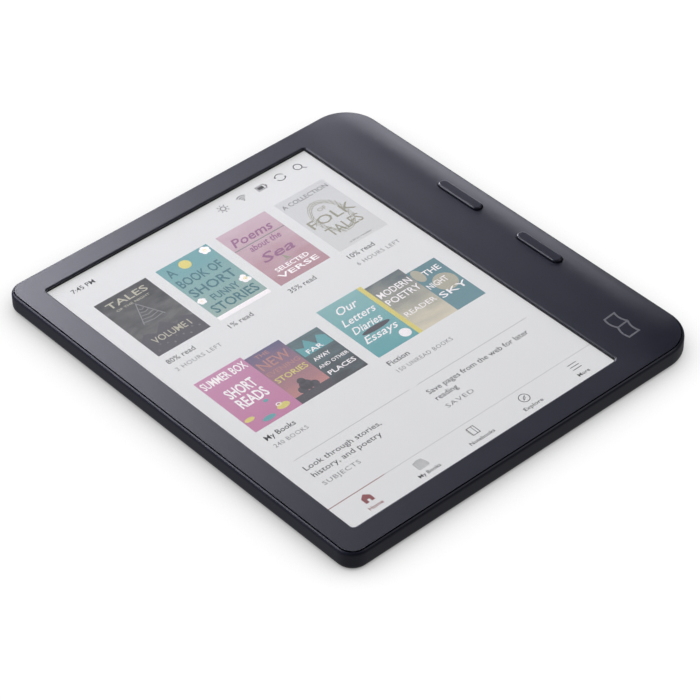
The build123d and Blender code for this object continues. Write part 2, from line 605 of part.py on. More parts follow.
for name, y in PAGE_BUTTONS.items():
    with BuildPart() as cap:
        with BuildSketch(Plane.XY.offset(FLANGE_Z)):
            with Locations((BUTTON_X, y)):
                SlotOverall(SLOT_L - 2 * CAP_GAP, SLOT_W - 2 * CAP_GAP, rotation=90)
        extrude(amount=CAP_TOP_Z - FLANGE_Z)
        fillet(cap.edges().group_by(Axis.Z)[-1], CAP_ROUND)
        # flange that keeps the cap under the front plate
        with BuildSketch(Plane.XY.offset(FLANGE_Z)):
            with Locations((BUTTON_X, y)):
                SlotOverall(SLOT_L + 2 * CAP_FLANGE_LIP, SLOT_W + 2 * CAP_FLANGE_LIP, rotation=90)
        extrude(amount=CAP_FLANGE_T)
        with BuildSketch(Plane.XY.offset(NUB_Z)):
            with Locations((BUTTON_X, y)):
                Circle(NUB_R)
        extrude(amount=FLANGE_Z - NUB_Z)
    cap.part.label = f"page_{name}_button"
    export_step(cap.part, f"parts/page_{name}_button.step")

    with BuildPart() as seal:
        with BuildSketch(Plane.XY.offset(FLANGE_Z)):
            with Locations((BUTTON_X, y)):
                SlotOverall(SLOT_L + CAP_SEAL_OUT, SLOT_W + CAP_SEAL_OUT, rotation=90)
                SlotOverall(SLOT_L + CAP_SEAL_IN, SLOT_W + CAP_SEAL_IN, rotation=90, mode=Mode.SUBTRACT)
        extrude(amount=PLATE_Z + HOLLOW_H - FLANGE_Z)
    seal.part.label = f"page_{name}_seal"
    export_step(seal.part, f"parts/page_{name}_seal.step")

    with BuildPart() as switch:
        with BuildSketch(Plane.XY.offset(SWITCH_Z)):
            with Locations((BUTTON_X, y)):
                RectangleRounded(SWITCH_W, SWITCH_W, SWITCH_CORNER)
        extrude(amount=SWITCH_H)
        with BuildSketch(Plane.XY.offset(SWITCH_Z + SWITCH_FLOOR)):
            with Locations((BUTTON_X, y)):
                Circle(SWITCH_BORE_R)
        extrude(amount=SWITCH_H - SWITCH_FLOOR - SWITCH_ROOF, mode=Mode.SUBTRACT)
        with BuildSketch(Plane.XY.offset(SWITCH_Z + SWITCH_FLOOR + SWITCH_ROOF)):
            with Locations((BUTTON_X, y)):
                Circle(PLUNGER_HOLE_R)
        extrude(amount=SWITCH_H, mode=Mode.SUBTRACT)
    switch.part.label = f"page_{name}_switch"
    export_step(switch.part, f"parts/page_{name}_switch.step")

    with BuildPart() as plunger:
        with BuildSketch(Plane.XY.offset(SWITCH_Z + PLUNGER_LIFT)):
            with Locations((BUTTON_X, y)):
                Circle(PLUNGER_R)
        extrude(amount=NUB_Z - SWITCH_Z - PLUNGER_LIFT)
    plunger.part.label = f"page_{name}_plunger"
    export_step(plunger.part, f"parts/page_{name}_plunger.step")

    # snap dome: a thin spherical cap that stands on the floor of the switch
    with BuildPart() as dome:
        with Locations((BUTTON_X, y, SWITCH_Z + SWITCH_FLOOR + DOME_H - DOME_R)):
            Sphere(DOME_R)
            Sphere(DOME_R - DOME_T, mode=Mode.SUBTRACT)
        split(bisect_by=Plane.XY.offset(SWITCH_Z + SWITCH_FLOOR), keep=Keep.TOP)
    dome.part.label = f"page_{name}_dome"
    export_step(dome.part, f"parts/page_{name}_dome.step")

# ---------------------------------------------------------------- power button
POWER_FLANGE_Z = FLOOR_T + 0.1
POWER_NUB_Z = 1.75
LENS_R, LENS_Y, LENS_SINK = 0.55, 2.7, 0.15
POWER_SWITCH_H = 1.1
POWER_SEAL_OUT, POWER_SEAL_IN, POWER_SEAL_T = 2.4, 1.2, 0.8
POWER_PLUNGER_L = 0.8
POWER_SWITCH_Z = BOARD_Z - POWER_SWITCH_H

with BuildPart() as power_button:
    with BuildSketch(Plane.XY.offset(POWER_SINK)):
        with Locations((POWER_X, POWER_Y)):
            Circle(POWER_R)
    extrude(amount=POWER_FLANGE_Z - POWER_SINK)
    fillet(power_button.edges().group_by(Axis.Z)[0], POWER_EDGE)
    with BuildSketch(Plane.XY.offset(POWER_FLANGE_Z)):
        with Locations((POWER_X, POWER_Y)):
            Circle(POWER_R + POWER_FLANGE_LIP)
    extrude(amount=POWER_FLANGE_T)
    with BuildSketch(Plane.XY.offset(POWER_FLANGE_Z + POWER_FLANGE_T)):
        with Locations((POWER_X, POWER_Y)):
            Circle(NUB_R)
    extrude(amount=POWER_NUB_Z - POWER_FLANGE_Z - POWER_FLANGE_T)
    # shallow dish for the fingertip, and the hole of the status light
    with Locations((POWER_X, POWER_Y, POWER_SINK + FINGER_DISH_DEPTH - FINGER_DISH_R)):
        Sphere(FINGER_DISH_R, mode=Mode.SUBTRACT)
    with BuildSketch():
        with Locations((POWER_X, POWER_Y + LENS_Y)):
            Circle(LENS_R)
    extrude(amount=BOARD_Z, mode=Mode.SUBTRACT)
power_button.part.label = "power_button"
export_step(power_button.part, "parts/power_button.step")

with BuildPart() as status_light_lens:
    with BuildSketch(Plane.XY.offset(POWER_SINK + LENS_SINK)):
        with Locations((POWER_X, POWER_Y + LENS_Y)):
            Circle(LENS_R - 0.01)
    extrude(amount=POWER_FLANGE_Z + POWER_FLANGE_T - POWER_SINK - LENS_SINK)
status_light_lens.part.label = "status_light_lens"
export_step(status_light_lens.part, "parts/status_light_lens.step")

with BuildPart() as power_button_seal:
    with BuildSketch(Plane.XY.offset(FLOOR_T)):
        with Locations((POWER_X, POWER_Y)):
            Circle(POWER_R + POWER_SEAL_OUT)
            Circle(POWER_R + POWER_SEAL_IN, mode=Mode.SUBTRACT)
    extrude(amount=POWER_SEAL_T)
power_button_seal.part.label = "power_button_seal"
export_step(power_button_seal.part, "parts/power_button_seal.step")

with BuildPart() as power_switch:
    with BuildSketch(Plane.XY.offset(POWER_SWITCH_Z)):
        with Locations((POWER_X, POWER_Y)):
            RectangleRounded(SWITCH_W, SWITCH_W, SWITCH_CORNER)
    extrude(amount=POWER_SWITCH_H)
    with BuildSketch(Plane.XY.offset(POWER_SWITCH_Z + SWITCH_ROOF)):
        with Locations((POWER_X, POWER_Y)):
            Circle(SWITCH_BORE_R)
    extrude(amount=POWER_SWITCH_H - SWITCH_FLOOR - SWITCH_ROOF, mode=Mode.SUBTRACT)
    with BuildSketch(Plane.XY.offset(POWER_SWITCH_Z)):
        with Locations((POWER_X, POWER_Y)):
            Circle(PLUNGER_HOLE_R)
    extrude(amount=2 * SWITCH_ROOF, mode=Mode.SUBTRACT)
power_switch.part.label = "power_switch"
export_step(power_switch.part, "parts/power_switch.step")

with BuildPart() as power_plunger:
    with BuildSketch(Plane.XY.offset(POWER_NUB_Z)):
        with Locations((POWER_X, POWER_Y)):
            Circle(PLUNGER_R)
    extrude(amount=POWER_PLUNGER_L)
power_plunger.part.label = "power_plunger"
export_step(power_plunger.part, "parts/power_plunger.step")

with BuildPart() as power_dome:
    with Locations((POWER_X, POWER_Y, BOARD_Z - SWITCH_FLOOR - DOME_H + DOME_R)):
        Sphere(DOME_R)
        Sphere(DOME_R - DOME_T, mode=Mode.SUBTRACT)
    split(bisect_by=Plane.XY.offset(BOARD_Z - SWITCH_FLOOR), keep=Keep.BOTTOM)
power_dome.part.label = "power_dome"
export_step(power_dome.part, "parts/power_dome.step")

# ---------------------------------------------------------------- loose inner pieces
MAGNETS = [(-66.8, 50.0), (-66.8, -50.0)]
MAGNET_W, MAGNET_L, MAGNET_T = 3.0, 14.0, 1.8
ANTENNA_X, ANTENNA_Y, ANTENNA_W, ANTENNA_H, ANTENNA_T = 46.0, 73.5, 24.0, 7.0, 0.15
HEX_R = 0.5

with BuildPart() as cover_magnets:
    with BuildSketch(Plane.XY.offset(FLOOR_T)):
        with Locations(*MAGNETS):
            RectangleRounded(MAGNET_W, MAGNET_L, 0.3)
    extrude(amount=MAGNET_T)
cover_magnets.part.label = "cover_magnets"
export_step(cover_magnets.part, "parts/cover_magnets.step")

with BuildPart() as wifi_antenna:
    with BuildSketch(Plane.XY.offset(FLOOR_T)):
        with Locations((ANTENNA_X, ANTENNA_Y)):
            Rectangle(ANTENNA_W, ANTENNA_H)
            with GridLocations(5.0, 0, 4, 1):
                Rectangle(1.2, 4.4, mode=Mode.SUBTRACT)
    extrude(amount=ANTENNA_T)
wifi_antenna.part.label = "wifi_antenna"
export_step(wifi_antenna.part, "parts/wifi_antenna.step")


def screws(places, seat_z, head_h, length):
    """Socket-head screws whose heads rest at seat_z."""
    with BuildPart() as group:
        with BuildSketch(Plane.XY.offset(seat_z)):
            with Locations(*places):
                Circle(SCREW_HEAD_R)
        extrude(amount=head_h)
        with BuildSketch(Plane.XY.offset(seat_z + head_h / 2)):
            with Locations(*places):
                RegularPolygon(HEX_R, 6)
        extrude(amount=head_h, mode=Mode.SUBTRACT)
        with BuildSketch(Plane.XY.offset(seat_z - length)):
            with Locations(*places):
                Circle(PILOT_R - 0.03)
        extrude(amount=length)
    return group


midframe_screws = screws(MID_SCREWS, MID_TOP_Z - SCREW_SEAT, SCREW_SEAT, 2.7)
midframe_screws.part.label = "midframe_screws"
export_step(midframe_screws.part, "parts/midframe_screws.step")

board_screws = screws(BOARD_SCREWS, BOARD_TOP_Z, 0.5, 2.4)
board_screws.part.label = "board_screws"
export_step(board_screws.part, "parts/board_screws.step")

bracket_screws = screws(BRACKET_SCREWS, BUTTON_BOARD_Z, 0.5, 2.9)
bracket_screws.part.label = "bracket_screws"
export_step(bracket_screws.part, "parts/bracket_screws.step")
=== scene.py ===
"""E-reader with a one-sided grip, dressed for a studio picture.

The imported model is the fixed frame. Each sub-assembly below is a class that builds its own
meshes in that frame, in metres, and gives every piece its finish.
"""

import logging
import math
from dataclasses import dataclass, field
from enum import Enum
from typing import Optional, Sequence, Union

import bmesh
import bpy
from mathutils import Matrix, Vector
from mathutils.bvhtree import BVHTree


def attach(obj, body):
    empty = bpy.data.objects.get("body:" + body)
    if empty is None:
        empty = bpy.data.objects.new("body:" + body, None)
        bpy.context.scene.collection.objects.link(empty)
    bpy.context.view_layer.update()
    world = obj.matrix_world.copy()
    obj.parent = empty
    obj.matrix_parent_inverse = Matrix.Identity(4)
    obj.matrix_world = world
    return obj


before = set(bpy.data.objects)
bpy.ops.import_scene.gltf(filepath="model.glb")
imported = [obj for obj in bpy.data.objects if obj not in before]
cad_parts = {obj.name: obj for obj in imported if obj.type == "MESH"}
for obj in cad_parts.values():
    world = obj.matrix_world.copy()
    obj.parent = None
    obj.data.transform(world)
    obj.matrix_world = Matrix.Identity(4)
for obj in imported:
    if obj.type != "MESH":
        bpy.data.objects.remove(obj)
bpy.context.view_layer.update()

MM = 0.001
LOG = logging.getLogger("e_reader")

Colour = tuple[float, float, float]
Point2 = tuple[float, float]
Point3 = tuple[float, float, float]
Number = Union[int, float]
BLACK: Colour = (0.0, 0.0, 0.0)
WHITE: Colour = (1.0, 1.0, 1.0)


# ---------------------------------------------------------------- shader toolkit
class Wire:
    """An output socket that can be used in Python arithmetic."""

    def __init__(self, tree: "NodeTree", socket: bpy.types.NodeSocket) -> None:
        """Keep the socket and the tree that it belongs to."""
        self.tree = tree
        self.socket = socket

    def math(self, operation: str, left: Union["Wire", Number], right: Union["Wire", Number]) -> "Wire":
        """Add one Math node.

        Args:
            operation: name of the Math node's operation.
            left: first operand.
            right: second operand.

        Returns:
            The node's value.
        """
        return self.tree.node("ShaderNodeMath", {"operation": operation}, {0: left, 1: right})

    def __add__(self, other: Union["Wire", Number]) -> "Wire":
        """Sum."""
        return self.math("ADD", self, other)

    __radd__ = __add__

    def __mul__(self, other: Union["Wire", Number]) -> "Wire":
        """Product."""
        return self.math("MULTIPLY", self, other)

    __rmul__ = __mul__

    def __sub__(self, other: Union["Wire", Number]) -> "Wire":
        """Difference."""
        return self.math("SUBTRACT", self, other)

    def __rsub__(self, other: Union["Wire", Number]) -> "Wire":
        """Difference, with a number on the left."""
        return self.math("SUBTRACT", other, self)

    def __truediv__(self, other: Union["Wire", Number]) -> "Wire":
        """Quotient."""
        return self.math("DIVIDE", self, other)

    def __pow__(self, other: Number) -> "Wire":
        """Power."""
        return self.math("POWER", self, other)

    def ping_pong(self, limit: Number) -> "Wire":
        """The value folded back and forth between 0 and limit."""
        return self.math("PINGPONG", self, limit)

    def above(self, limit: Number) -> "Wire":
        """1 where the value is greater than limit, else 0."""
        return self.math("GREATER_THAN", self, limit)


class NodeTree:
    """A node tree that starts out empty."""

    def __init__(self, owner: Union[bpy.types.Material, bpy.types.World]) -> None:
        """Empty the owner's node tree."""
        owner.use_nodes = True
        self.tree = owner.node_tree
        self.tree.nodes.clear()

    def feed(self, target: bpy.types.NodeSocket, value: object) -> None:
        """Link a wire to a socket, or set the socket's own value."""
        if isinstance(value, Wire):
            self.tree.links.new(value.socket, target)
        elif isinstance(value, tuple) and len(value) == 3 and target.type == "RGBA":
            target.default_value = (*value, 1.0)
        else:
            target.default_value = value

    def node(self, kind: str, settings: Optional[dict] = None, inputs: Optional[dict] = None,
             output: Union[int, str, None] = 0) -> Optional[Wire]:
        """Add a node.

        Args:
            kind: the node's type.
            settings: its properties, which are set before the sockets.
            inputs: values or wires, by socket name or number.
            output: name or number of the output that is wanted, or None for a node without one.

        Returns:
            That output.
        """
        made = self.tree.nodes.new(kind)
        for key, value in (settings or {}).items():
            setattr(made, key, value)
        for key, value in (inputs or {}).items():
            self.feed(made.inputs[key], value)
        return None if output is None else Wire(self, made.outputs[output])


class Shader(NodeTree):
    def __init__(self, name: str) -> None:
        """Make an empty material with that name."""
        self.material = bpy.data.materials.new(name)
        super().__init__(self.material)

    def place(self, size: float = 1.0, stretch: Sequence[float] = (1, 1, 1)) -> Wire:
        """Position on the piece in metres, divided by size and stretched."""
        position = self.node("ShaderNodeTexCoord", output="Object")
        scale = tuple(s / size for s in stretch)
        return self.node("ShaderNodeMapping", {}, {"Vector": position, "Scale": scale})

    def noise(self, size: float, detail: float = 2.0, stretch: Sequence[float] = (1, 1, 1)) -> Wire:
        """Soft noise between 0 and 1 whose blotches are about size metres wide."""
        where = self.place(size, stretch)
        return self.node("ShaderNodeTexNoise", {}, {"Vector": where, "Scale": 1.0, "Detail": detail})

    def mix(self, low: object, high: object, factor: object) -> Wire:
        """Mix two colours."""
        return self.node("ShaderNodeMix", {"data_type": "RGBA"}, {0: factor, 6: low, 7: high}, 2)

    def bump(self, height: Wire, depth: float, below: object = None) -> Wire:
        """Turn a height between 0 and 1 into a normal.

        Args:
            height: the height.
            depth: how deep 0 lies under 1, in metres.
            below: normal that this bump is laid over.

        Returns:
            The normal.
        """
        inputs = {"Height": height, "Distance": depth, "Strength": 1.0}
        if below is not None:
            inputs["Normal"] = below
        return self.node("ShaderNodeBump", {}, inputs)

    def finish(self, **sockets: object) -> bpy.types.Material:
        """Close the tree with a surface; underscores stand for spaces in its sockets' names."""
        inputs = {key.replace("_", " "): value for key, value in sockets.items()}
        surface = self.node("ShaderNodeBsdfPrincipled", {}, inputs)
        self.node("ShaderNodeOutputMaterial", {}, {"Surface": surface}, None)
        return self.material


def tint(colour: Colour, factor: float) -> Colour:
    """A lighter or darker colour."""
    return tuple(min(1.0, c * factor) for c in colour)


# ---------------------------------------------------------------- finishes
@dataclass(frozen=True)
class MouldedPlastic:
    """Moulded plastic with a fine spark-eroded grain, faint flow mottling and handling marks."""

    name: str
    colour: Colour
    roughness: float = 0.36
    grain: float = 0.16 * MM
    depth: float = 0.004 * MM
    specular: float = 0.5

    def make(self) -> bpy.types.Material:
        """Build the material."""
        s = Shader(self.name)
        mottle = s.noise(18 * MM, 3.0)
        grain = s.noise(self.grain, 2.0)
        touch = s.noise(7 * MM, 4.0)
        colour = s.mix(tint(self.colour, 0.93), tint(self.colour, 1.08), mottle * 0.7 + grain * 0.3)
        rough = self.roughness - 0.03 + touch * 0.05 + grain * 0.02
        return s.finish(Base_Color=colour, Roughness=rough, Specular_IOR_Level=self.specular,
                        Normal=s.bump(grain, self.depth))


@dataclass(frozen=True)
class Silicone:
    """Soft matt rubber with a dusty bloom."""

    name: str
    colour: Colour = (0.018, 0.018, 0.020)

    def make(self) -> bpy.types.Material:
        """Build the material."""
        s = Shader(self.name)
        dust = s.noise(0.6 * MM, 4.0)
        colour = s.mix(self.colour, tint(self.colour, 1.7), dust)
        return s.finish(Base_Color=colour, Roughness=0.62 + dust * 0.15, Normal=s.bump(dust, 0.01 * MM))


@dataclass(frozen=True)
class ClearSheet:
    """Thin clear sheet that barely shows: a faint etched haze and a few specks."""

    name: str
    haze: float
    colour: Colour = (0.85, 0.87, 0.88)

    def make(self) -> bpy.types.Material:
        """Build the material."""
        s = Shader(self.name)
        etched = s.noise(0.25 * MM, 2.0)
        cover = self.haze * 0.8 + etched * (self.haze * 0.4)
        return s.finish(Base_Color=self.colour, Roughness=0.35 + etched * 0.1, Alpha=cover,
                        Specular_IOR_Level=0.2)


PAINTED_PAGE_GLOW = 0.675     # painted glow: strength of the even emission that brightens the page
UNLIT_SHARE = 0.5       # share of a page colour that also answers to the light in the room; the rest is painted glow


@dataclass(frozen=True)
class InkPaper:
    """The pale ground of an electronic page: fine grain of capsules under a colour filter, with a painted
    glow.
    """

    name: str
    colour: Colour

    def make(self) -> bpy.types.Material:
        """Build the material."""
        s = Shader(self.name)
        capsules = s.noise(0.12 * MM, 1.0)
        cloud = s.noise(25 * MM, 3.0)
        colour = s.mix(tint(self.colour, 0.965), tint(self.colour, 1.035), capsules * 0.7 + cloud * 0.3)
        unlit = s.mix(BLACK, colour, UNLIT_SHARE)
        # painted glow: the colour is also emitted, so the page shines evenly
        return s.finish(Base_Color=unlit, Roughness=0.85, Specular_IOR_Level=0.05,
                        Emission_Color=colour, Emission_Strength=PAINTED_PAGE_GLOW)


@dataclass(frozen=True)
class PageInk:
    """Picture area of the page: a colour that runs into a second one up the page, with ink grain.

    The run goes from bottom to top, in metres; cloud bends it, in patches of cloud_size.
    """

    name: str
    low: Colour
    high: Colour
    bottom: float = 0.0
    top: float = 1.0
    cloud: float = 0.0
    cloud_size: float = 4 * MM
    grain: float = 0.12
    bare: Colour = (0.55, 0.55, 0.54)

    def make(self) -> bpy.types.Material:
        """Build the material."""
        s = Shader(self.name)
        axes = s.node("ShaderNodeSeparateXYZ", {}, {"Vector": s.place()}, "Y")
        span = max(self.top - self.bottom, 1e-6)
        climb = (axes - self.bottom) / span
        drift = s.noise(self.cloud_size, 3.0, (0.45, 1.0, 1.0))
        grain = s.noise(0.22 * MM, 1.0)
        share = s.node("ShaderNodeClamp", {}, {0: climb + (drift - 0.5) * self.cloud})
        ground = s.mix(self.low, self.high, share)
        colour = s.mix(ground, self.bare, (grain - 0.3) * self.grain)
        unlit = s.mix(BLACK, colour, UNLIT_SHARE)
        # painted glow: the colour is also emitted, as on the page ground
        return s.finish(Base_Color=unlit, Roughness=0.85, Specular_IOR_Level=0.05,
                        Emission_Color=colour, Emission_Strength=PAINTED_PAGE_GLOW)


@dataclass(frozen=True)
class Metal:
    """Sheet or turned metal with a grain along one direction and faint tarnish."""

    name: str
    colour: Colour
    roughness: float = 0.35
    along: Point3 = (0.04, 1.0, 1.0)
    grain: float = 0.12 * MM

    def make(self) -> bpy.types.Material:
        """Build the material."""
        s = Shader(self.name)
        lines = s.noise(self.grain, 3.0, self.along)
        tarnish = s.noise(3 * MM, 4.0)
        colour = s.mix(tint(self.colour, 0.8), self.colour, tarnish * 0.6 + lines * 0.4)
        return s.finish(Base_Color=colour, Metallic=1.0, Roughness=self.roughness + lines * 0.18,
                        Normal=s.bump(lines, 0.004 * MM))


@dataclass(frozen=True)
class SolderMask:
    """Circuit board: lacquer over copper tracks that run along both directions."""

    name: str
    mask: Colour
    track: Colour

    def make(self) -> bpy.types.Material:
        """Build the material."""
        s = Shader(self.name)
        cells = s.node("ShaderNodeTexVoronoi", {"distance": "CHEBYCHEV"},
                       {"Vector": s.place(2.2 * MM), "Scale": 1.0, "Randomness": 0.6})
        tracks = (cells * 9.0).ping_pong(1.0)
        copper = tracks.above(0.62)
        fibre = s.noise(0.3 * MM, 2.0)
        lacquer = s.mix(self.mask, self.track, copper * 0.8)
        colour = s.mix(lacquer, tint(self.mask, 1.6), fibre * 0.2)
        return s.finish(Base_Color=colour, Roughness=0.32 + fibre * 0.1, Normal=s.bump(copper, 0.012 * MM))


@dataclass(frozen=True)
class SmoothResin:
    """Moulded resin, ceramic or film: fine mottling, some gloss."""

    name: str
    colour: Colour
    roughness: float = 0.45
    speck: float = 0.3 * MM
    contrast: float = 0.25

    def make(self) -> bpy.types.Material:
        """Build the material."""
        s = Shader(self.name)
        speck = s.noise(self.speck, 3.0)
        colour = s.mix(tint(self.colour, 1 - self.contrast), tint(self.colour, 1 + self.contrast), speck)
        rough = self.roughness + speck * 0.1
        return s.finish(Base_Color=colour, Roughness=rough, Normal=s.bump(speck, 0.006 * MM))


# ---------------------------------------------------------------- flat printed shapes
class Print:
    """Flat shapes that lie on the page as thin closed prisms. Sizes are in millimetres.

    Attributes:
        ground: height of the page's surface.
        sunk: how far the prisms reach into it.
        step: height of one layer of ink.
        facet: largest turn between two points of an arc, in degrees.
        round_end: where a closed ring's last point lies, in degrees; the first lies at 0.
        capital: share of a font's size that its capitals take.
        weld: points nearer than this become one.
        proud, rooted: how far a draped print stands out of a surface, and reaches into it.
    """

    ground = 5.650
    sunk = 0.004
    step = 0.009
    facet = 12.0
    round_end = 345.0
    capital = 0.729
    weld = 0.0004
    proud = 0.012
    rooted = 0.030

    def __init__(self, name: str, layer: int) -> None:
        """Start an empty piece whose shapes stand layer steps above the page."""
        self.name = name
        self.bm = bmesh.new()
        self.low = self.ground - self.sunk
        self.high = self.ground + self.step * (layer + 1)

    def band(self, outer: Sequence[Point2], inner: Sequence[Point2] = ()) -> None:
        """Add a prism over a polygon, or over the strip between two closed loops.

        Args:
            outer: corners, in order.
            inner: corners of a hole, one for each corner of outer, or none.
        """
        loops = []
        for outline in (outer, inner) if inner else (outer,):
            loops.append([[self.bm.verts.new((x * MM, y * MM, z * MM)) for x, y in outline]
                          for z in (self.low, self.high)])
        count = len(outer)
        for i in range(count):
            k = (i + 1) % count
            low, high = loops[0]
            self.bm.faces.new((low[i], low[k], high[k], high[i]))
            if inner:
                hole_low, hole_high = loops[1]
                self.bm.faces.new((hole_low[k], hole_low[i], hole_high[i], hole_high[k]))
                self.bm.faces.new((high[i], high[k], hole_high[k], hole_high[i]))
                self.bm.faces.new((low[k], low[i], hole_low[i], hole_low[k]))
        if not inner:
            self.bm.faces.new(loops[0][1])
            self.bm.faces.new(list(reversed(loops[0][0])))

    def rect(self, left: float, bottom: float, right: float, top: float) -> None:
        """Add a rectangle."""
        self.band([(left, bottom), (right, bottom), (right, top), (left, top)])

    @staticmethod
    def arc(x: float, y: float, radius: float, start: float = 0.0, end: float = round_end,
            flat: float = 1.0) -> list[Point2]:
        """Points along an arc, with angles in degrees; flat squashes it upwards."""
        count = max(3, int(abs(end - start) / Print.facet))
        turns = [math.radians(start + (end - start) * i / count) for i in range(count + 1)]
        return [(x + radius * math.cos(t), y + radius * flat * math.sin(t)) for t in turns]

    def disc(self, x: float, y: float, radius: float, flat: float = 1.0) -> None:
        """Add a disc, or an ellipse that is flat times as high as it is wide."""
        self.band(self.arc(x, y, radius, flat=flat))

    def ring(self, x: float, y: float, radius: float, width: float, flat: float = 1.0) -> None:
        """Add a ring whose middle line has that radius."""
        outer = self.arc(x, y, radius + width / 2, flat=flat)
        inner = self.arc(x, y, radius - width / 2, flat=flat)
        self.band(outer, inner)

    def stroke(self, points: Sequence[Point2], width: float) -> None:
        """Add a line of even width along the points, with mitred corners."""
        sharpest = 0.4
        sides: tuple[list[Point2], list[Point2]] = ([], [])
        last = len(points) - 1
        for i, (x, y) in enumerate(points):
            before = Vector(points[i]) - Vector(points[max(i - 1, 0)])
            after = Vector(points[min(i + 1, last)]) - Vector(points[i])
            before = before.normalized() if before.length else after.normalized()
            after = after.normalized() if after.length else before
            along = (before + after).normalized()
            reach = width / 2 / max(along.dot(after), sharpest)
            sides[0].append((x - along.y * reach, y + along.x * reach))
            sides[1].append((x + along.y * reach, y - along.x * reach))
        self.band(sides[1] + sides[0][::-1])

    def frame_line(self, left: float, bottom: float, right: float, top: float, width: float) -> None:
        """Add the outline of a rectangle."""
        x0, y0, x1, y1 = left + width, bottom + width, right - width, top - width
        self.band([(left, bottom), (right, bottom), (right, top), (left, top)],
                  [(x0, y0), (x1, y0), (x1, y1), (x0, y1)])

    def words(self, text: str, x: float, base: float, cap: float, width: float = 0.0, align: str = "LEFT",
              bold: float = 0.0, lean: float = 0.0, spread: float = 1.0) -> None:
        """Add a line of lettering.

        Args:
            text: the words.
            x: place of its left edge, middle or right edge.
            base: height of its base line.
            cap: height of a capital.
            width: width that the line is fitted to, or 0 to leave it.
            align: LEFT, CENTER or RIGHT.
            bold: how far the strokes are thickened, as a share of cap.
            lean: slant of the letters.
            spread: spacing between the letters.
        """
        curve = bpy.data.curves.new("lettering", "FONT")
        curve.body = text
        curve.size = cap / self.capital
        curve.extrude = (self.high - self.low) / 2
        curve.offset = bold * cap
        curve.shear = lean
        curve.space_character = spread
        curve.resolution_u = 2
        carrier = bpy.data.objects.new("lettering", curve)
        bpy.context.collection.objects.link(carrier)
        graph = bpy.context.evaluated_depsgraph_get()
        mesh = bpy.data.meshes.new_from_object(carrier.evaluated_get(graph))
        bpy.data.objects.remove(carrier)
        bpy.data.curves.remove(curve)
        places = [v.co.x for v in mesh.vertices]
        first, full = min(places), max(places) - min(places)
        squeeze = width / full if width else 1.0
        full *= squeeze
        start = x - {"LEFT": 0.0, "CENTER": full / 2, "RIGHT": full}[align]
        middle = (self.high + self.low) / 2
        for vertex in mesh.vertices:
            c = vertex.co
            vertex.co = (((c.x - first) * squeeze + start) * MM, (c.y + base) * MM, (c.z + middle) * MM)
        self.bm.from_mesh(mesh)
        bpy.data.meshes.remove(mesh)

    def drape(self, node: str) -> None:
        """Move the shapes from the page onto the top of a CAD node."""
        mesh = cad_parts[node].data
        faces = [list(p.vertices) for p in mesh.polygons]
        surface = BVHTree.FromPolygons([v.co for v in mesh.vertices], faces)
        down = Vector((0.0, 0.0, -1.0))
        middle = (self.low + self.high) / 2 * MM
        for vertex in self.bm.verts:
            lift = self.proud if vertex.co.z > middle else -self.rooted
            hit = surface.ray_cast(Vector((vertex.co.x, vertex.co.y, 1.0)), down)[0]
            vertex.co.z = hit.z + lift * MM

    def lay(self, material: bpy.types.Material, slot: str = "e_paper") -> None:
        """Close the meshes, dress them and let them ride with the housing."""
        bmesh.ops.remove_doubles(self.bm, verts=self.bm.verts, dist=self.weld * MM)
        bmesh.ops.recalc_face_normals(self.bm, faces=self.bm.faces)
        mesh = bpy.data.meshes.new(self.name)
        self.bm.to_mesh(mesh)
        self.bm.free()
        mesh.materials.append(material)
        piece = bpy.data.objects.new(self.name, mesh)
        bpy.context.collection.objects.link(piece)
        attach(piece, "housing")
        LOG.info("%s: %d faces", self.name, len(mesh.polygons))


class Ink(Enum):
    """Solid inks of the page, as linear colours."""

    TEXT = (0.030, 0.030, 0.030)
    QUIET = (0.200, 0.200, 0.200)
    RULE = (0.420, 0.420, 0.420)
    ACCENT = (0.235, 0.065, 0.065)
    PALE = (0.840, 0.800, 0.800)
    TAN = (0.400, 0.380, 0.300)
    SEA = (0.050, 0.150, 0.175)
    SUN = (0.620, 0.540, 0.160)
    PLUM = (0.260, 0.115, 0.215)
    CORAL = (0.420, 0.210, 0.190)
    SHADE = (0.075, 0.070, 0.080)
    BARK = (0.280, 0.270, 0.210)
    FOAM = (0.120, 0.330, 0.350)

    def material(self) -> bpy.types.Material:
        """The ink's material, made once."""
        name = "ink_" + self.name.lower()
        known = bpy.data.materials.get(name)
        return known or PageInk(name, self.value, tint(self.value, 1.12), 0.0, 0.05).make()


@dataclass(frozen=True)
class Cover:
    """A book cover: its visible rectangle and the two colours that it runs between."""

    name: str
    left: float
    bottom: float
    right: float
    top: float
    low: Colour
    high: Colour
    cloud: float = 0.0
    cloud_size: float = 4.0

    @property
    def middle(self) -> float:
        """Middle of the visible width."""
        return (self.left + self.right) / 2

    def print_ground(self) -> None:
        """Lay the coloured rectangle."""
        ground = PageInk("print_" + self.name, self.low, self.high, self.bottom * MM, self.top * MM,
                         self.cloud, self.cloud_size * MM)
        sheet = Print(self.name + "_ground", 0)
        sheet.rect(self.left, self.bottom, self.right, self.top)
        sheet.lay(ground.make())


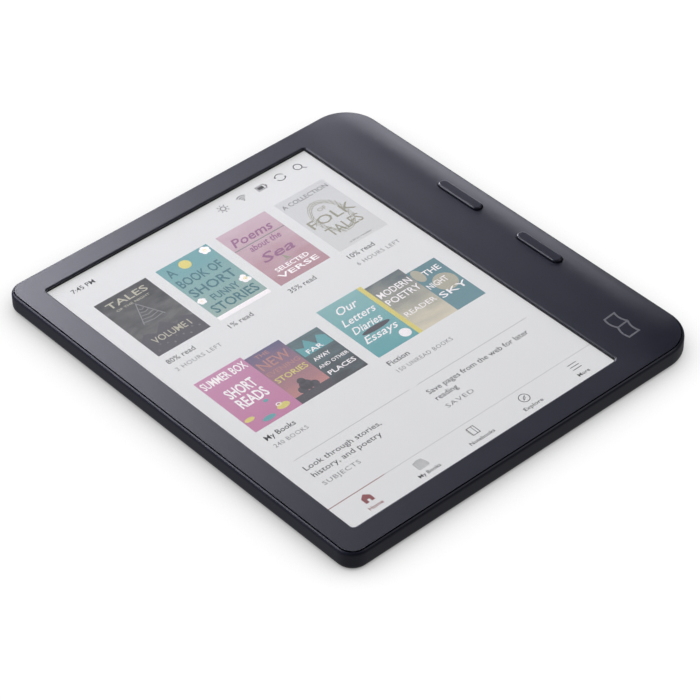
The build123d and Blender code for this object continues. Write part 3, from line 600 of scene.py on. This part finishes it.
@dataclass
class Page:
    """What the display shows: a generic home page with made-up books.

    Places are in millimetres from the middle of the reader, and heights of lettering are those of
    its capitals.
    """

    left: float = -63.1
    right: float = 44.2
    margin: float = -56.5
    columns: tuple[float, ...] = (-56.1, -31.4, -6.8, 17.9)
    cover_w: float = 20.7
    cover_low: float = 24.4
    cover_high: float = 56.2
    second: float = -7.3
    stack_low: float = -21.3
    icon_row: float = 66.1
    stack_tops: tuple[float, ...] = (7.4, 5.7, 2.3)
    share_row: float = 19.5
    hours_row: float = 15.3
    stack_name_row: float = -26.4
    stack_count_row: float = -30.4
    link_line: float = -38.2
    link_rows: tuple[float, ...] = (-43.8, -47.4, -51.9)
    tab_line: float = -60.1
    tab_row: float = -64.0
    tab_name_row: float = -68.6
    tab_places: tuple[float, ...] = (-51.2, -30.0, -8.8, 12.4, 33.7)
    text_cap: float = 2.2
    note_cap: float = 1.75
    tab_cap: float = 1.45
    digit_pitch: float = 1.34
    note_spread: float = 1.12
    thin: float = 0.004
    firm: float = 0.012

    def status_bar(self, dark: Print) -> None:
        """Time of day and five pictograms."""
        y = self.icon_row
        dark.words("7:45 PM", -56.9, y - 1.05, 2.0, width=8.8, bold=self.firm)
        # sun with eight rays
        x, near, far = 4.9, 1.45, 2.05
        dark.ring(x, y, 0.95, 0.32)
        for k in range(8):
            turn = math.radians(45 * k)
            dark.stroke([(x + near * math.cos(turn), y + near * math.sin(turn)),
                         (x + far * math.cos(turn), y + far * math.sin(turn))], 0.3)
        # radio waves
        x = 12.9
        for radius in (0.9, 1.75, 2.6):
            dark.stroke(Print.arc(x, y - 1.3, radius, 48, 132), 0.32)
        dark.disc(x, y - 1.2, 0.28)
        # battery
        x = 19.2
        dark.frame_line(x, y - 1.25, x + 3.7, y + 1.25, 0.26)
        dark.rect(x + 0.5, y - 0.75, x + 2.8, y + 0.75)
        dark.rect(x + 3.8, y - 0.5, x + 4.15, y + 0.5)
        # two arrows round a circle
        x, radius = 29.2, 1.75
        for start in (20, 200):
            dark.stroke(Print.arc(x, y, radius, start, start + 128), 0.32)
            turn = math.radians(start + 136)
            tip_x, tip_y = x + radius * math.cos(turn), y + radius * math.sin(turn)
            dark.band([(tip_x + 0.5 * math.cos(turn + a), tip_y + 0.5 * math.sin(turn + a))
                       for a in (math.pi / 2, math.pi * 7 / 6, -math.pi / 6)])
        # magnifier
        x = 37.0
        dark.ring(x, y + 0.25, 1.45, 0.34)
        dark.stroke([(x + 1.05, y - 0.85), (x + 2.2, y - 2.0)], 0.36)

    def captions(self, dark: Print, quiet: Print) -> None:
        """The lines under the books."""
        for x, share in zip(self.columns, ("80% read", "1% read", "35% read", "10% read")):
            dark.words(share, x, self.share_row, self.text_cap, width=self.digit_pitch * len(share),
                       bold=self.thin)
        first, second, third = self.link_rows
        lines = (("My Books", self.margin, self.stack_name_row, 11.4, self.firm),
                 ("Fiction", self.second, self.stack_name_row, 8.3, self.firm),
                 ("Look through stories,", self.margin, first, 29.8, self.thin),
                 ("history, and poetry", self.margin, second, 26.8, self.thin),
                 ("Save pages from the web for later", self.second, first, 41.8, self.thin),
                 ("reading", self.second, second, 8.6, self.thin))
        for text, x, base, width, bold in lines:
            dark.words(text, x, base, self.text_cap, width=width, bold=bold)
        notes = (("2 HOURS LEFT", self.columns[0], self.hours_row, 17.8),
                 ("6 HOURS LEFT", self.columns[3], self.hours_row, 17.8),
                 ("240 BOOKS", self.margin, self.stack_count_row, 13.0),
                 ("150 UNREAD BOOKS", self.second, self.stack_count_row, 22.6),
                 ("SUBJECTS", self.margin, third, 14.3),
                 ("SAVED", self.second, third, 11.0))
        for text, x, base, width in notes:
            quiet.words(text, x, base, self.note_cap, width=width, spread=self.note_spread)

    def rules(self) -> None:
        """Thin grey lines and the red mark over the open tab."""
        rule = Print("page_rules", 0)
        for left, right in ((self.margin, -10.3), (self.second, 38.8)):
            rule.rect(left, self.link_line, right, self.link_line + 0.22)
        rule.rect(-40.6, self.tab_line - 0.08, self.right, self.tab_line + 0.08)
        rule.lay(Ink.RULE.material())
        accent = Print("page_accent", 0)
        accent.rect(self.left, self.tab_line - 0.14, -40.7, self.tab_line + 0.14)
        # house
        x, y = self.tab_places[0], self.tab_row
        accent.band([(x - 1.75, y - 1.8), (x - 0.45, y - 1.8), (x - 0.45, y - 0.55), (x + 0.45, y - 0.55),
                     (x + 0.45, y - 1.8), (x + 1.75, y - 1.8), (x + 1.75, y + 0.55), (x, y + 1.95),
                     (x - 1.75, y + 0.55)])
        accent.words("Home", x, self.tab_name_row, self.tab_cap, width=5.4, align="CENTER", bold=0.02)
        accent.lay(Ink.ACCENT.material())

    def tabs(self, dark: Print) -> None:
        """Pictograms and names of the four other tabs."""
        y = self.tab_row
        books, notebook, compass, menu = self.tab_places[1:]
        # three books on a shelf, the last one leaning
        x = books
        dark.frame_line(x - 1.9, y - 1.7, x - 0.9, y + 1.5, 0.22)
        dark.frame_line(x - 0.6, y - 1.7, x + 0.4, y + 1.8, 0.22)
        dark.band([(x + 0.5, y + 1.35), (x + 1.4, y + 1.75), (x + 2.2, y - 1.4), (x + 1.3, y - 1.75)],
                  [(x + 0.78, y + 1.22), (x + 1.25, y + 1.42), (x + 1.92, y - 1.25), (x + 1.47, y - 1.44)])
        # notebook with four binding rings
        x = notebook
        dark.frame_line(x - 1.4, y - 1.8, x + 1.5, y + 1.8, 0.24)
        dark.rect(x + 0.35, y - 1.6, x + 0.55, y + 1.6)
        for k in range(4):
            dark.rect(x - 1.8, y - 1.35 + 0.8 * k, x - 1.1, y - 1.12 + 0.8 * k)
        # compass
        x = compass
        dark.ring(x, y, 1.75, 0.26)
        dark.band([(x + 0.95, y + 0.95), (x + 0.3, y - 0.3), (x - 0.95, y - 0.95), (x - 0.3, y + 0.3)],
                  [(x + 0.55, y + 0.55), (x + 0.13, y - 0.13), (x - 0.55, y - 0.55), (x - 0.13, y + 0.13)])
        # three bars
        for k in (-1, 0, 1):
            dark.rect(menu - 1.8, y + 1.25 * k - 0.13, menu + 1.8, y + 1.25 * k + 0.13)
        names = (("My Books", books, 8.4), ("Notebooks", notebook, 9.8), ("Explore", compass, 7.6),
                 ("More", menu, 4.6))
        for text, x, width in names:
            dark.words(text, x, self.tab_name_row, self.tab_cap, width=width, align="CENTER", bold=self.firm)

    def row_covers(self) -> list[Cover]:
        """The four books of the upper row."""
        books = (("night_cover", (0.14, 0.14, 0.136), (0.05, 0.05, 0.05), 1.8, 3.0),
                 ("calm_cover", (0.3, 0.4, 0.36), (0.14, 0.34, 0.36), 0.5, 6.0),
                 ("shore_cover", (0.43, 0.25, 0.28), (0.56, 0.42, 0.47), 0.9, 5.0),
                 ("folk_cover", (0.61, 0.61, 0.6), (0.59, 0.59, 0.59), 0.4, 6.0))
        return [Cover(name, x, self.cover_low, x + self.cover_w, self.cover_high, *look)
                for x, (name, *look) in zip(self.columns, books)]

    def stack_covers(self) -> list[Cover]:
        """The visible parts of the books in the two stacks of the lower row."""
        x = self.second
        near, mid, far = self.stack_tops
        books = (("summer_cover", -56.6, -38.1, near, (0.48, 0.19, 0.32), (0.51, 0.235, 0.37), 0.0, 4.0),
                 ("evening_cover", -38.1, -24.2, mid, (0.5, 0.23, 0.2), (0.12, 0.11, 0.2), 0.35, 4.0),
                 ("travel_cover", -24.2, -11.6, far, (0.055, 0.06, 0.065), (0.11, 0.17, 0.18), 1.2, 3.0),
                 ("letters_cover", x, x + 16.8, near, (0.11, 0.33, 0.35), (0.23, 0.42, 0.42), 0.7, 6.0),
                 ("storm_cover", x + 18.5, x + 33.1, mid, (0.6, 0.55, 0.43), (0.11, 0.14, 0.15), 0.8, 5.0),
                 ("sky_cover", x + 33.1, x + 45.1, far, (0.13, 0.25, 0.28), (0.11, 0.22, 0.245), 0.4, 4.0))
        return [Cover(name, left, self.stack_low, right, top, *look)
                for name, left, right, top, *look in books]

    def cover_pictures(self, prints: dict[Ink, Print]) -> None:
        """Simple shapes on the covers: hills, moon, petals, boat, hatching, floats, tree and planets."""
        x0, x1, x2, x3 = self.columns
        low, high, w = self.cover_low, self.cover_high, self.cover_w
        shade, pale, sun, tan = prints[Ink.SHADE], prints[Ink.PALE], prints[Ink.SUN], prints[Ink.TAN]
        bark, foam, quiet = prints[Ink.BARK], prints[Ink.FOAM], prints[Ink.QUIET]
        # hills under a hazy peak
        shade.band([(x0, low), (x0 + w, low), (x0 + w, low + 8), (x0 + 17, low + 10.5), (x0 + 14, low + 8.2),
                    (x0 + 10.5, low + 12.5), (x0 + 6.5, low + 8.8), (x0 + 3, low + 11), (x0, low + 8.5)])
        quiet.stroke([(x0 + 6.2, low + 14.5), (x0 + 10.4, low + 24), (x0 + 14.6, low + 14.5)], 0.35)
        for k in range(5):
            half = 0.9 + 0.7 * k
            quiet.stroke([(x0 + 10.4 - half, low + 21.2 - 1.5 * k), (x0 + 10.4, low + 20.6 - 1.5 * k),
                          (x0 + 10.4 + half, low + 21.2 - 1.5 * k)], 0.28)
        for k in range(9):
            x, y = x0 + 1.6 + 2.1 * k, low + 1.6 + (k * 5 % 3) * 1.1
            quiet.rect(x, y, x + 0.7, y + 0.7)
        # petals and a sun
        sun.disc(x1 + 9.3, high - 3.4, 2.1)
        flowers = ((x1 + 18.4, high - 2.2, 1.6), (x1 + 18.9, low + 10.5, 1.7), (x1 + 1.7, low + 11.0, 1.3))
        for cx, cy, size in flowers:
            for k in range(5):
                turn = math.radians(72 * k + 20)
                px, py = cx + size * 0.62 * math.cos(turn), cy + size * 0.62 * math.sin(turn)
                if x1 + size * 0.6 < px < x1 + w - size * 0.6:
                    pale.disc(px, py, size * 0.6)
            sun.disc(cx, cy, size * 0.4)
        pale.rect(x1, low, x1 + w, low + 1.9)
        # a horizon and a small sail
        quiet.rect(x2, high - 9.9, x2 + w, high - 9.5)
        bark.band([(x2 + 10.0, low + 9.0), (x2 + 10.2, low + 11.6), (x2 + 11.7, low + 9.0)])
        bark.rect(x2 + 9.1, low + 8.4, x2 + 12.0, low + 8.8)
        # a hatched oval bower
        x, y, twigs = x3 + 10.3, low + 15.5, 26
        for k in range(twigs):
            turn = math.radians(360 / twigs * k)
            reach = 6.6 + 0.7 * math.sin(5 * turn)
            bent = turn + 0.34
            bark.stroke([(x + 5.1 * math.cos(turn), y + 7.4 * math.sin(turn)),
                         (x + reach * math.cos(bent), y + (reach + 2.4) * math.sin(bent))], 0.22)
        for k in range(3):
            bark.ring(x, y, 5.3 + 0.55 * k, 0.16, 1.42)
        # floats on the summer cover
        sun.disc(-42.6, -17.7, 2.3, 0.55)
        sun.disc(-54.3, -15.8, 1.8, 0.5)
        foam.disc(-49.3, -19.0, 2.4, 0.42)
        pale.ring(-43.4, -16.4, 0.8, 0.35, 0.8)
        foam.disc(-45.2, -12.6, 0.9, 0.7)
        # a tree on the evening cover
        shade.rect(-38.1, self.stack_low, -24.2, self.stack_low + 3.4)
        crown = ((-31.5, -15.5, 2.3), (-33.7, -16.6, 1.6), (-29.3, -16.7, 1.6), (-31.6, -13.2, 1.4))
        for cx, cy, size in crown:
            shade.disc(cx, cy, size)
        shade.rect(-31.9, -18.5, -31.1, -15.0)
        # far shore on the travel cover
        foam.band([(-23.6, -6.0), (-12.0, -6.0), (-12.0, -2.0), (-14.5, -0.2), (-16.5, -3.5), (-19.0, 0.6),
                   (-21.0, -2.6), (-23.6, -1.2)])
        # spine, stone and badge on the letters cover
        x = self.second
        sun.rect(x + 16.8, self.stack_low, x + 18.5, self.stack_tops[0])
        shade.disc(x + 9.0, -10.2, 5.6, 0.2)
        pale.disc(x + 14.0, -18.0, 2.0)
        # planets on the sky cover
        tan.disc(x + 39.9, -8.6, 4.2)
        tan.disc(x + 35.2, -1.2, 1.9, 1.7)

    def cover_titles(self, prints: dict[Ink, Print]) -> None:
        """Generic words in the places of titles."""
        x0, x1, x2, x3 = (x + self.cover_w / 2 for x in self.columns)
        high, low, x = self.cover_high, self.cover_low, self.second
        groups = [
            (Ink.TAN, 0.01, 0.0, [
                ("TALES", x0, high - 4.9, 2.9, 15.5), ("VOLUME I", x0, low + 5.0, 2.9, 14.5)]),
            (Ink.TAN, 0.0, 0.0, [
                ("OF THE NIGHT", x0, high - 7.2, 1.0, 13.0)]),
            (Ink.SEA, 0.02, 0.0, [
                ("A", x1 - 7.3, high - 6.0, 4.2, 3.0), ("BOOK OF", x1 - 0.6, high - 12.2, 4.2, 17.2),
                ("SHORT", x1 - 0.4, high - 18.2, 4.2, 17.6), ("FUNNY", x1, high - 23.2, 3.1, 10.6),
                ("STORIES", x1, high - 28.4, 4.1, 17.8)]),
            (Ink.PLUM, 0.02, 0.3, [
                ("Poems", x2 - 0.6, high - 8.2, 4.2, 16.5), ("Sea", x2 - 0.2, high - 20.2, 4.4, 13.0)]),
            (Ink.PLUM, 0.015, 0.3, [
                ("about the", x2 + 0.2, high - 13.2, 3.0, 12.6)]),
            (Ink.PALE, 0.02, 0.0, [
                ("SELECTED", x2, low + 5.6, 2.0, 13.4),
                ("VERSE", x2, low + 2.4, 2.2, 16.0), ("SUMMER BOX", -47.35, 2.6, 3.5, 17.0),
                ("FAR", -18.6, -5.6, 1.9, 6.2), ("AWAY", -19.4, -9.6, 1.7, 6.4),
                ("PLACES", -17.9, -17.2, 1.9, 10.6)]),
            (Ink.QUIET, 0.012, 0.0, [
                ("A COLLECTION", x3, high - 4.2, 2.0, 19.0)]),
            (Ink.BARK, 0.01, 0.0, [
                ("OF", x3, high - 12.3, 1.7, 3.4)]),
            (Ink.BARK, 0.008, 0.0, [
                ("FOLK", x3, high - 18.2, 4.4, 18.0), ("TALES", x3, high - 24.6, 4.4, 13.8)]),
            (Ink.QUIET, 0.0, 0.0, [
                ("a first reader", x3, low + 1.2, 0.8, 9.4)]),
            (Ink.PALE, 0.03, 0.0, [
                ("SHORT", -47.2, -5.5, 4.5, 10.8), ("READS", -47.2, -11.0, 4.5, 10.8)]),
            (Ink.CORAL, 0.0, 0.0, [
                ("THE", -32.6, 3.0, 1.7, 5.0), ("EVENING", -31.3, -5.6, 1.9, 12.6)]),
            (Ink.CORAL, 0.01, 0.0, [
                ("NEW", -31.3, -2.4, 4.2, 11.6)]),
            (Ink.SUN, 0.01, 0.0, [
                ("STORIES", -31.3, -9.6, 2.4, 12.2)]),
            (Ink.PALE, 0.01, 0.0, [
                ("AND OTHER", -17.9, -13.2, 1.5, 11.6), ("MODERN", x + 25.8, -1.6, 2.9, 13.2),
                ("POETRY", x + 25.8, -5.8, 2.9, 13.6), ("THE", x + 40.2, -2.9, 2.6, 6.8),
                ("NIGHT", x + 37.6, -8.6, 2.6, 8.0), ("SKY", x + 39.2, -14.2, 2.7, 11.0)]),
            (Ink.PALE, 0.01, 0.4, [
                ("Our", x + 8.6, 1.2, 3.6, 8.4), ("Letters", x + 8.6, -4.0, 3.3, 13.6),
                ("Diaries", x + 7.8, -8.8, 3.3, 12.0), ("Essays", x + 8.4, -14.4, 3.3, 13.6)]),
            (Ink.PALE, 0.0, 0.0, [
                ("READER", x + 25.8, -13.2, 2.2, 12.6)]),
        ]
        for ink, bold, lean, lines in groups:
            for text, x, base, cap, width in lines:
                prints[ink].words(text, x, base, cap, width=width, align="CENTER", bold=bold, lean=lean)

    def build(self) -> None:
        """Lay the whole page."""
        dark, quiet = Print("page_text", 0), Print("page_notes", 0)
        self.status_bar(dark)
        self.captions(dark, quiet)
        self.tabs(dark)
        dark.lay(Ink.TEXT.material())
        quiet.lay(Ink.QUIET.material())
        self.rules()
        for cover in self.row_covers() + self.stack_covers():
            cover.print_ground()
        pictures = {ink: Print("picture_" + ink.name.lower(), 1) for ink in
                    (Ink.SHADE, Ink.PALE, Ink.SUN, Ink.TAN, Ink.BARK, Ink.FOAM, Ink.QUIET)}
        self.cover_pictures(pictures)
        for ink, piece in pictures.items():
            piece.lay(ink.material())
        titles = {ink: Print("title_" + ink.name.lower(), 3) for ink in
                  (Ink.TAN, Ink.SEA, Ink.PLUM, Ink.PALE, Ink.QUIET, Ink.BARK, Ink.CORAL, Ink.SUN)}
        self.cover_titles(titles)
        for ink, piece in titles.items():
            piece.lay(ink.material())


# ---------------------------------------------------------------- studio
@dataclass
class Lamp:
    """A rectangular soft light, in metres and watts, that points at the middle of the set."""

    name: str
    place: Point3
    size: Point2
    power: float
    colour: Colour = (0.985, 0.985, 1.09)

    def switch_on(self) -> None:
        """Make the light."""
        data = bpy.data.lights.new(self.name, "AREA")
        data.shape = "RECTANGLE"
        data.size, data.size_y = self.size
        data.energy = self.power
        data.color = self.colour
        lamp = bpy.data.objects.new(self.name, data)
        bpy.context.collection.objects.link(lamp)
        lamp.location = self.place
        lamp.rotation_mode = "QUATERNION"
        lamp.rotation_quaternion = (-Vector(self.place)).to_track_quat("-Z", "Y")
        lamp.visible_camera = False


@dataclass
class Studio:
    """White floor, soft lights and the camera.

    Attributes:
        azimuth, elevation, roll: where the camera stands and how it leans, in degrees.
        distance: from the camera to the point that it aims at.
        aim: that point.
        sensor, lens: the camera's, in millimetres.
        floor_half: half the floor's width.
        floor_drop: how far the floor lies under the reader's back.
        floor_shown: how bright the floor looks.
        floor_cast: how bright it is to the things that stand on it.
        shade_reach: how far the reader's shade spreads over the floor.
        shade_depth: how dark that shade is where it is closed in.
        dome: brightness of the room all round.
        lamps: the soft lights.
    """

    azimuth: float = -41.75
    elevation: float = 41.17
    roll: float = -0.563
    distance: float = 923.5 * MM
    aim: Point3 = (-12.335 * MM, -13.812 * MM, 7.0 * MM)
    sensor: float = 36.0
    lens: float = 156.48
    floor_half: float = 6.0
    floor_drop: float = 0.1 * MM
    floor_shown: float = 1.056
    floor_cast: float = 0.27
    shade_reach: float = 0.042
    shade_depth: float = 0.90
    dome: float = 0.05
    lamps: list[Lamp] = field(default_factory=lambda: [
        Lamp("high_box", (0.129, 0.481, 0.418), (0.25, 0.30), 1.43),
        Lamp("low_box", (0.150, 0.603, 0.190), (0.25, 0.20), 2.42),
        Lamp("grip_box", (0.476, 0.400, 0.190), (0.25, 0.20), 0.57),
        Lamp("left_box", (-0.332, 0.395, 0.433), (0.30, 0.30), 2.00),
        Lamp("right_box", (0.338, -0.284, 0.442), (0.30, 0.30), 0.40),
        Lamp("far_strip", (0.912, 1.167, 0.235), (1.6, 0.30), 1.40),
    ])

    def camera(self) -> None:
        """Make the camera."""
        data = bpy.data.cameras.new("camera")
        data.sensor_width = self.sensor
        data.lens = self.lens
        data.clip_start, data.clip_end = 0.05, 50.0
        camera = bpy.data.objects.new("camera", data)
        bpy.context.collection.objects.link(camera)
        turn, tilt = math.radians(self.azimuth), math.radians(self.elevation)
        back = Vector((math.sin(turn) * math.cos(tilt), -math.cos(turn) * math.cos(tilt), math.sin(tilt)))
        right = Vector((0, 0, 1)).cross(back).normalized()
        up = back.cross(right)
        axes = Matrix((right, up, back)).transposed() @ Matrix.Rotation(math.radians(self.roll), 3, "Z")
        camera.matrix_world = Matrix.Translation(Vector(self.aim) + back * self.distance) @ axes.to_4x4()
        bpy.context.scene.camera = camera

    def floor_finish(self) -> bpy.types.Material:
        """White sweep with soft shade near the reader.

        It lights the reader less than it shows, as a floor that is lit apart does, and it is clear
        from below, so that the back can be looked at.

        Returns:
            The material.
        """
        s = Shader("floor_white")
        sky = s.node("ShaderNodeAmbientOcclusion", {"samples": 12}, {"Distance": self.shade_reach}, "AO")
        colour = s.mix(BLACK, WHITE, 1 - (1 - sky) * self.shade_depth)
        shown = s.node("ShaderNodeEmission", {}, {"Color": colour, "Strength": self.floor_shown})
        cast = s.node("ShaderNodeEmission", {}, {"Color": WHITE, "Strength": self.floor_cast})
        direct = s.node("ShaderNodeLightPath", output="Is Camera Ray")
        top = s.node("ShaderNodeMixShader", {}, {0: direct, 1: cast, 2: shown})
        clear = s.node("ShaderNodeBsdfTransparent")
        below = s.node("ShaderNodeNewGeometry", output="Backfacing")
        surface = s.node("ShaderNodeMixShader", {}, {0: below, 1: top, 2: clear})
        s.node("ShaderNodeOutputMaterial", {}, {"Surface": surface}, None)
        return s.material

    def floor(self) -> None:
        """Make the white floor."""
        mesh = bpy.data.meshes.new("floor")
        h = self.floor_half
        mesh.from_pydata([(-h, -h, 0), (h, -h, 0), (h, h, 0), (-h, h, 0)], [], [(0, 1, 2, 3)])
        floor = bpy.data.objects.new("floor", mesh)
        bpy.context.collection.objects.link(floor)
        floor.location.z = -self.floor_drop
        mesh.materials.append(self.floor_finish())

    def room(self) -> None:
        """Make the dim, even light all round the set."""
        world = bpy.data.worlds.new("studio")
        bpy.context.scene.world = world
        tree = NodeTree(world)
        light = tree.node("ShaderNodeBackground", {}, {"Color": WHITE, "Strength": self.dome})
        tree.node("ShaderNodeOutputWorld", {}, {"Surface": light}, None)

    def build(self) -> None:
        """Set up the camera, floor, room and lights."""
        self.camera()
        self.floor()
        self.room()
        for lamp in self.lamps:
            lamp.switch_on()
        bpy.context.scene.view_settings.view_transform = "Standard"
        bpy.context.scene.view_settings.look = "None"


# ---------------------------------------------------------------- sub-assemblies
def dress(material: bpy.types.Material, *names: str) -> None:
    """Give CAD nodes a material and report them.

    Args:
        material: the finish.
        names: the nodes.
    """
    for name in names:
        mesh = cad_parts[name].data
        mesh.materials.clear()
        mesh.materials.append(material)
        LOG.info("%s: %s", name, material.name)


@dataclass
class Housing:
    """Front plate, back shell, their seal, the inner frame, screws and magnets."""

    front: Colour = (0.0120, 0.0135, 0.0260)
    back: Colour = (0.0200, 0.0225, 0.0410)

    def build(self) -> None:
        """Dress the pieces."""
        dress(MouldedPlastic("housing_plastic", self.front).make(), "front_bezel")
        dress(MouldedPlastic("back_shell_plastic", self.back, 0.40, 0.24 * MM, 0.010 * MM, 0.42).make(),
              "rear_cover")
        dress(Silicone("rubber").make(), "perimeter_seal")
        dress(Metal("magnesium", (0.42, 0.43, 0.45), 0.42, (1.0, 1.0, 1.0), 0.5 * MM).make(), "midframe")
        dress(Metal("screw_steel", (0.10, 0.10, 0.11), 0.32).make(),
              "midframe_screws", "board_screws", "bracket_screws")
        dress(Metal("magnet_nickel", (0.52, 0.51, 0.49), 0.22, (1.0, 1.0, 1.0)).make(), "cover_magnets")


@dataclass
class GripMark:
    """A small open book, printed in grey near the lower end of the grip, in millimetres.

    Attributes:
        x, y: the middle of its spine.
        line: width of its lines.
        page: outline of one page, as distance from the spine and place along it.
        spine: places along the spine.
        grey: colour of the print.
    """

    x: float = 56.4
    y: float = -62.0
    line: float = 0.62
    page: tuple[Point2, ...] = ((0.0, 1.9), (0.9, 2.35), (2.0, 2.7), (3.2, 2.8), (4.4, 2.65), (5.3, 2.4),
                                (5.3, 1.0), (5.3, -0.4), (5.3, -1.8), (4.4, -1.55), (3.2, -1.4), (2.0, -1.5),
                                (0.9, -1.85), (0.0, -2.3))

    spine: tuple[float, ...] = (-2.2, -1.0, 0.2, 1.8)
    grey: Colour = (0.170, 0.172, 0.185)

    def build(self) -> None:
        """Draw the two pages and the spine, and drape them over the grip."""
        mark = Print("grip_mark", 0)
        for side in (1, -1):
            mark.stroke([(self.x - v, self.y + side * u) for u, v in self.page], self.line)
        mark.stroke([(self.x - v, self.y) for v in self.spine], self.line)
        mark.drape("front_bezel")
        mark.lay(SmoothResin("mark_grey", self.grey, 0.5, 0.2 * MM, 0.08).make(), "housing")


@dataclass
class Display:
    """The stack under the window, from the touch panel down to the glass backplane."""

    ground: Colour = (0.70, 0.70, 0.69)
    haze: float = 0.025

    def build(self) -> None:
        """Dress the pieces and lay the page on the film."""
        dress(InkPaper("page_ground", self.ground).make(), "ink_film")
        dress(ClearSheet("clear_sheet", self.haze).make(), "touch_panel", "light_guide")
        # black border under the window's lip: a border print, made near-black also as painted shade where
        # the lip shades the page edge
        dress(MouldedPlastic("mask_print", (0.004, 0.004, 0.005), 0.6, 0.1 * MM, 0.001 * MM, 0.2).make(),
              "display_mask")
        tape = SmoothResin("black_tape", (0.012, 0.012, 0.013), 0.55, 0.5 * MM)
        dress(tape.make(), "bezel_tape", "display_tape")
        glass = SolderMask("thin_glass", (0.30, 0.34, 0.34), (0.20, 0.23, 0.24))
        dress(glass.make(), "display_backplane")
        dress(SmoothResin("polyimide", (0.42, 0.16, 0.025), 0.25, 0.8 * MM).make(),
              "display_flex", "touch_flex")
        dress(SmoothResin("flex_black", (0.03, 0.03, 0.033), 0.4, 0.4 * MM).make(), "front_light_strip")
        phosphor = SmoothResin("led_phosphor", (0.80, 0.74, 0.45), 0.3, 0.15 * MM, 0.1)
        dress(phosphor.make(), "front_light_leds")
        Page().build()


@dataclass
class Electronics:
    """Main board with its chips and shields, battery, small boards, aerial and socket."""

    board: Colour = (0.010, 0.060, 0.038)
    track: Colour = (0.030, 0.120, 0.070)

    def board_parts(self) -> None:
        """Dress the boards and what is soldered to them."""
        dress(SolderMask("circuit_board", self.board, self.track).make(),
              "main_board", "battery_board", "page_button_board")
        dress(Metal("tin_plate", (0.62, 0.61, 0.58), 0.30).make(), "processor_shield", "wifi_module")
        dress(SmoothResin("chip_epoxy", (0.020, 0.020, 0.022), 0.5, 0.08 * MM).make(),
              "processor_chip", "memory_chip", "storage_chip", "power_chip", "hall_sensor")
        dress(SmoothResin("ceramic_part", (0.35, 0.27, 0.18), 0.35, 0.2 * MM).make(), "board_passives")
        dress(SmoothResin("connector_plastic", (0.62, 0.58, 0.48), 0.45, 0.2 * MM, 0.08).make(),
              "display_connector", "touch_connector", "battery_connector")
        dress(SmoothResin("graphite_sheet", (0.05, 0.05, 0.055), 0.4, 0.12 * MM, 0.4).make(), "heat_sheet")

    def supply(self) -> None:
        """Dress the battery, its lead and the aerial."""
        dress(Metal("cell_foil", (0.60, 0.60, 0.61), 0.38, (1.0, 1.0, 1.0), 1.2 * MM).make(), "battery_cell")
        dress(SmoothResin("cell_tape", (0.60, 0.58, 0.52), 0.5, 0.6 * MM, 0.08).make(), "battery_tape")
        dress(SmoothResin("lead_black", (0.022, 0.022, 0.024), 0.45, 0.5 * MM).make(),
              "battery_lead", "wifi_antenna")

    def socket(self) -> None:
        """Dress the charging socket."""
        dress(Metal("socket_steel", (0.58, 0.57, 0.55), 0.24, (1.0, 0.05, 1.0)).make(), "usb_shell")
        dress(SmoothResin("socket_black", (0.016, 0.016, 0.017), 0.5, 0.2 * MM).make(), "usb_insulator")
        dress(Metal("contact_gold", (0.80, 0.52, 0.18), 0.22).make(), "usb_contacts")
        dress(Silicone("socket_rubber").make(), "usb_seal")

    def build(self) -> None:
        """Dress everything inside."""
        self.board_parts()
        self.supply()
        self.socket()


@dataclass
class Keys:
    """The two page buttons on the grip and the power button on the back."""

    cap: Colour = (0.0120, 0.0135, 0.0260)

    def build(self) -> None:
        """Dress the pieces."""
        cap = MouldedPlastic("button_plastic", self.cap, 0.30, 0.14 * MM, 0.003 * MM)
        dress(cap.make(), "page_back_button", "page_forward_button", "power_button")
        dress(Silicone("key_rubber").make(), "page_back_seal", "page_forward_seal", "power_button_seal")
        dress(SmoothResin("switch_black", (0.018, 0.018, 0.019), 0.45, 0.2 * MM).make(),
              "page_back_switch", "page_forward_switch", "power_switch",
              "page_back_plunger", "page_forward_plunger", "power_plunger")
        dress(Metal("dome_steel", (0.60, 0.60, 0.60), 0.2).make(),
              "page_back_dome", "page_forward_dome", "power_dome")
        dress(Metal("bracket_steel", (0.50, 0.50, 0.50), 0.34).make(), "page_button_bracket")
        lens = SmoothResin("lens_frosted", (0.62, 0.66, 0.68), 0.4, 0.1 * MM, 0.06)
        dress(lens.make(), "status_light_lens")


def main() -> None:
    """Build the set and dress the reader."""
    logging.basicConfig(level=logging.INFO, format="%(name)s: %(message)s")
    for assembly in (Studio(), Housing(), GripMark(), Display(), Electronics(), Keys()):
        LOG.info("building %s", type(assembly).__name__)
        assembly.build()
    bare = [name for name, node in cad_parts.items() if not node.data.materials]
    LOG.info("nodes without a finish: %s", bare or "none")


if __name__ == "__main__":
    main()
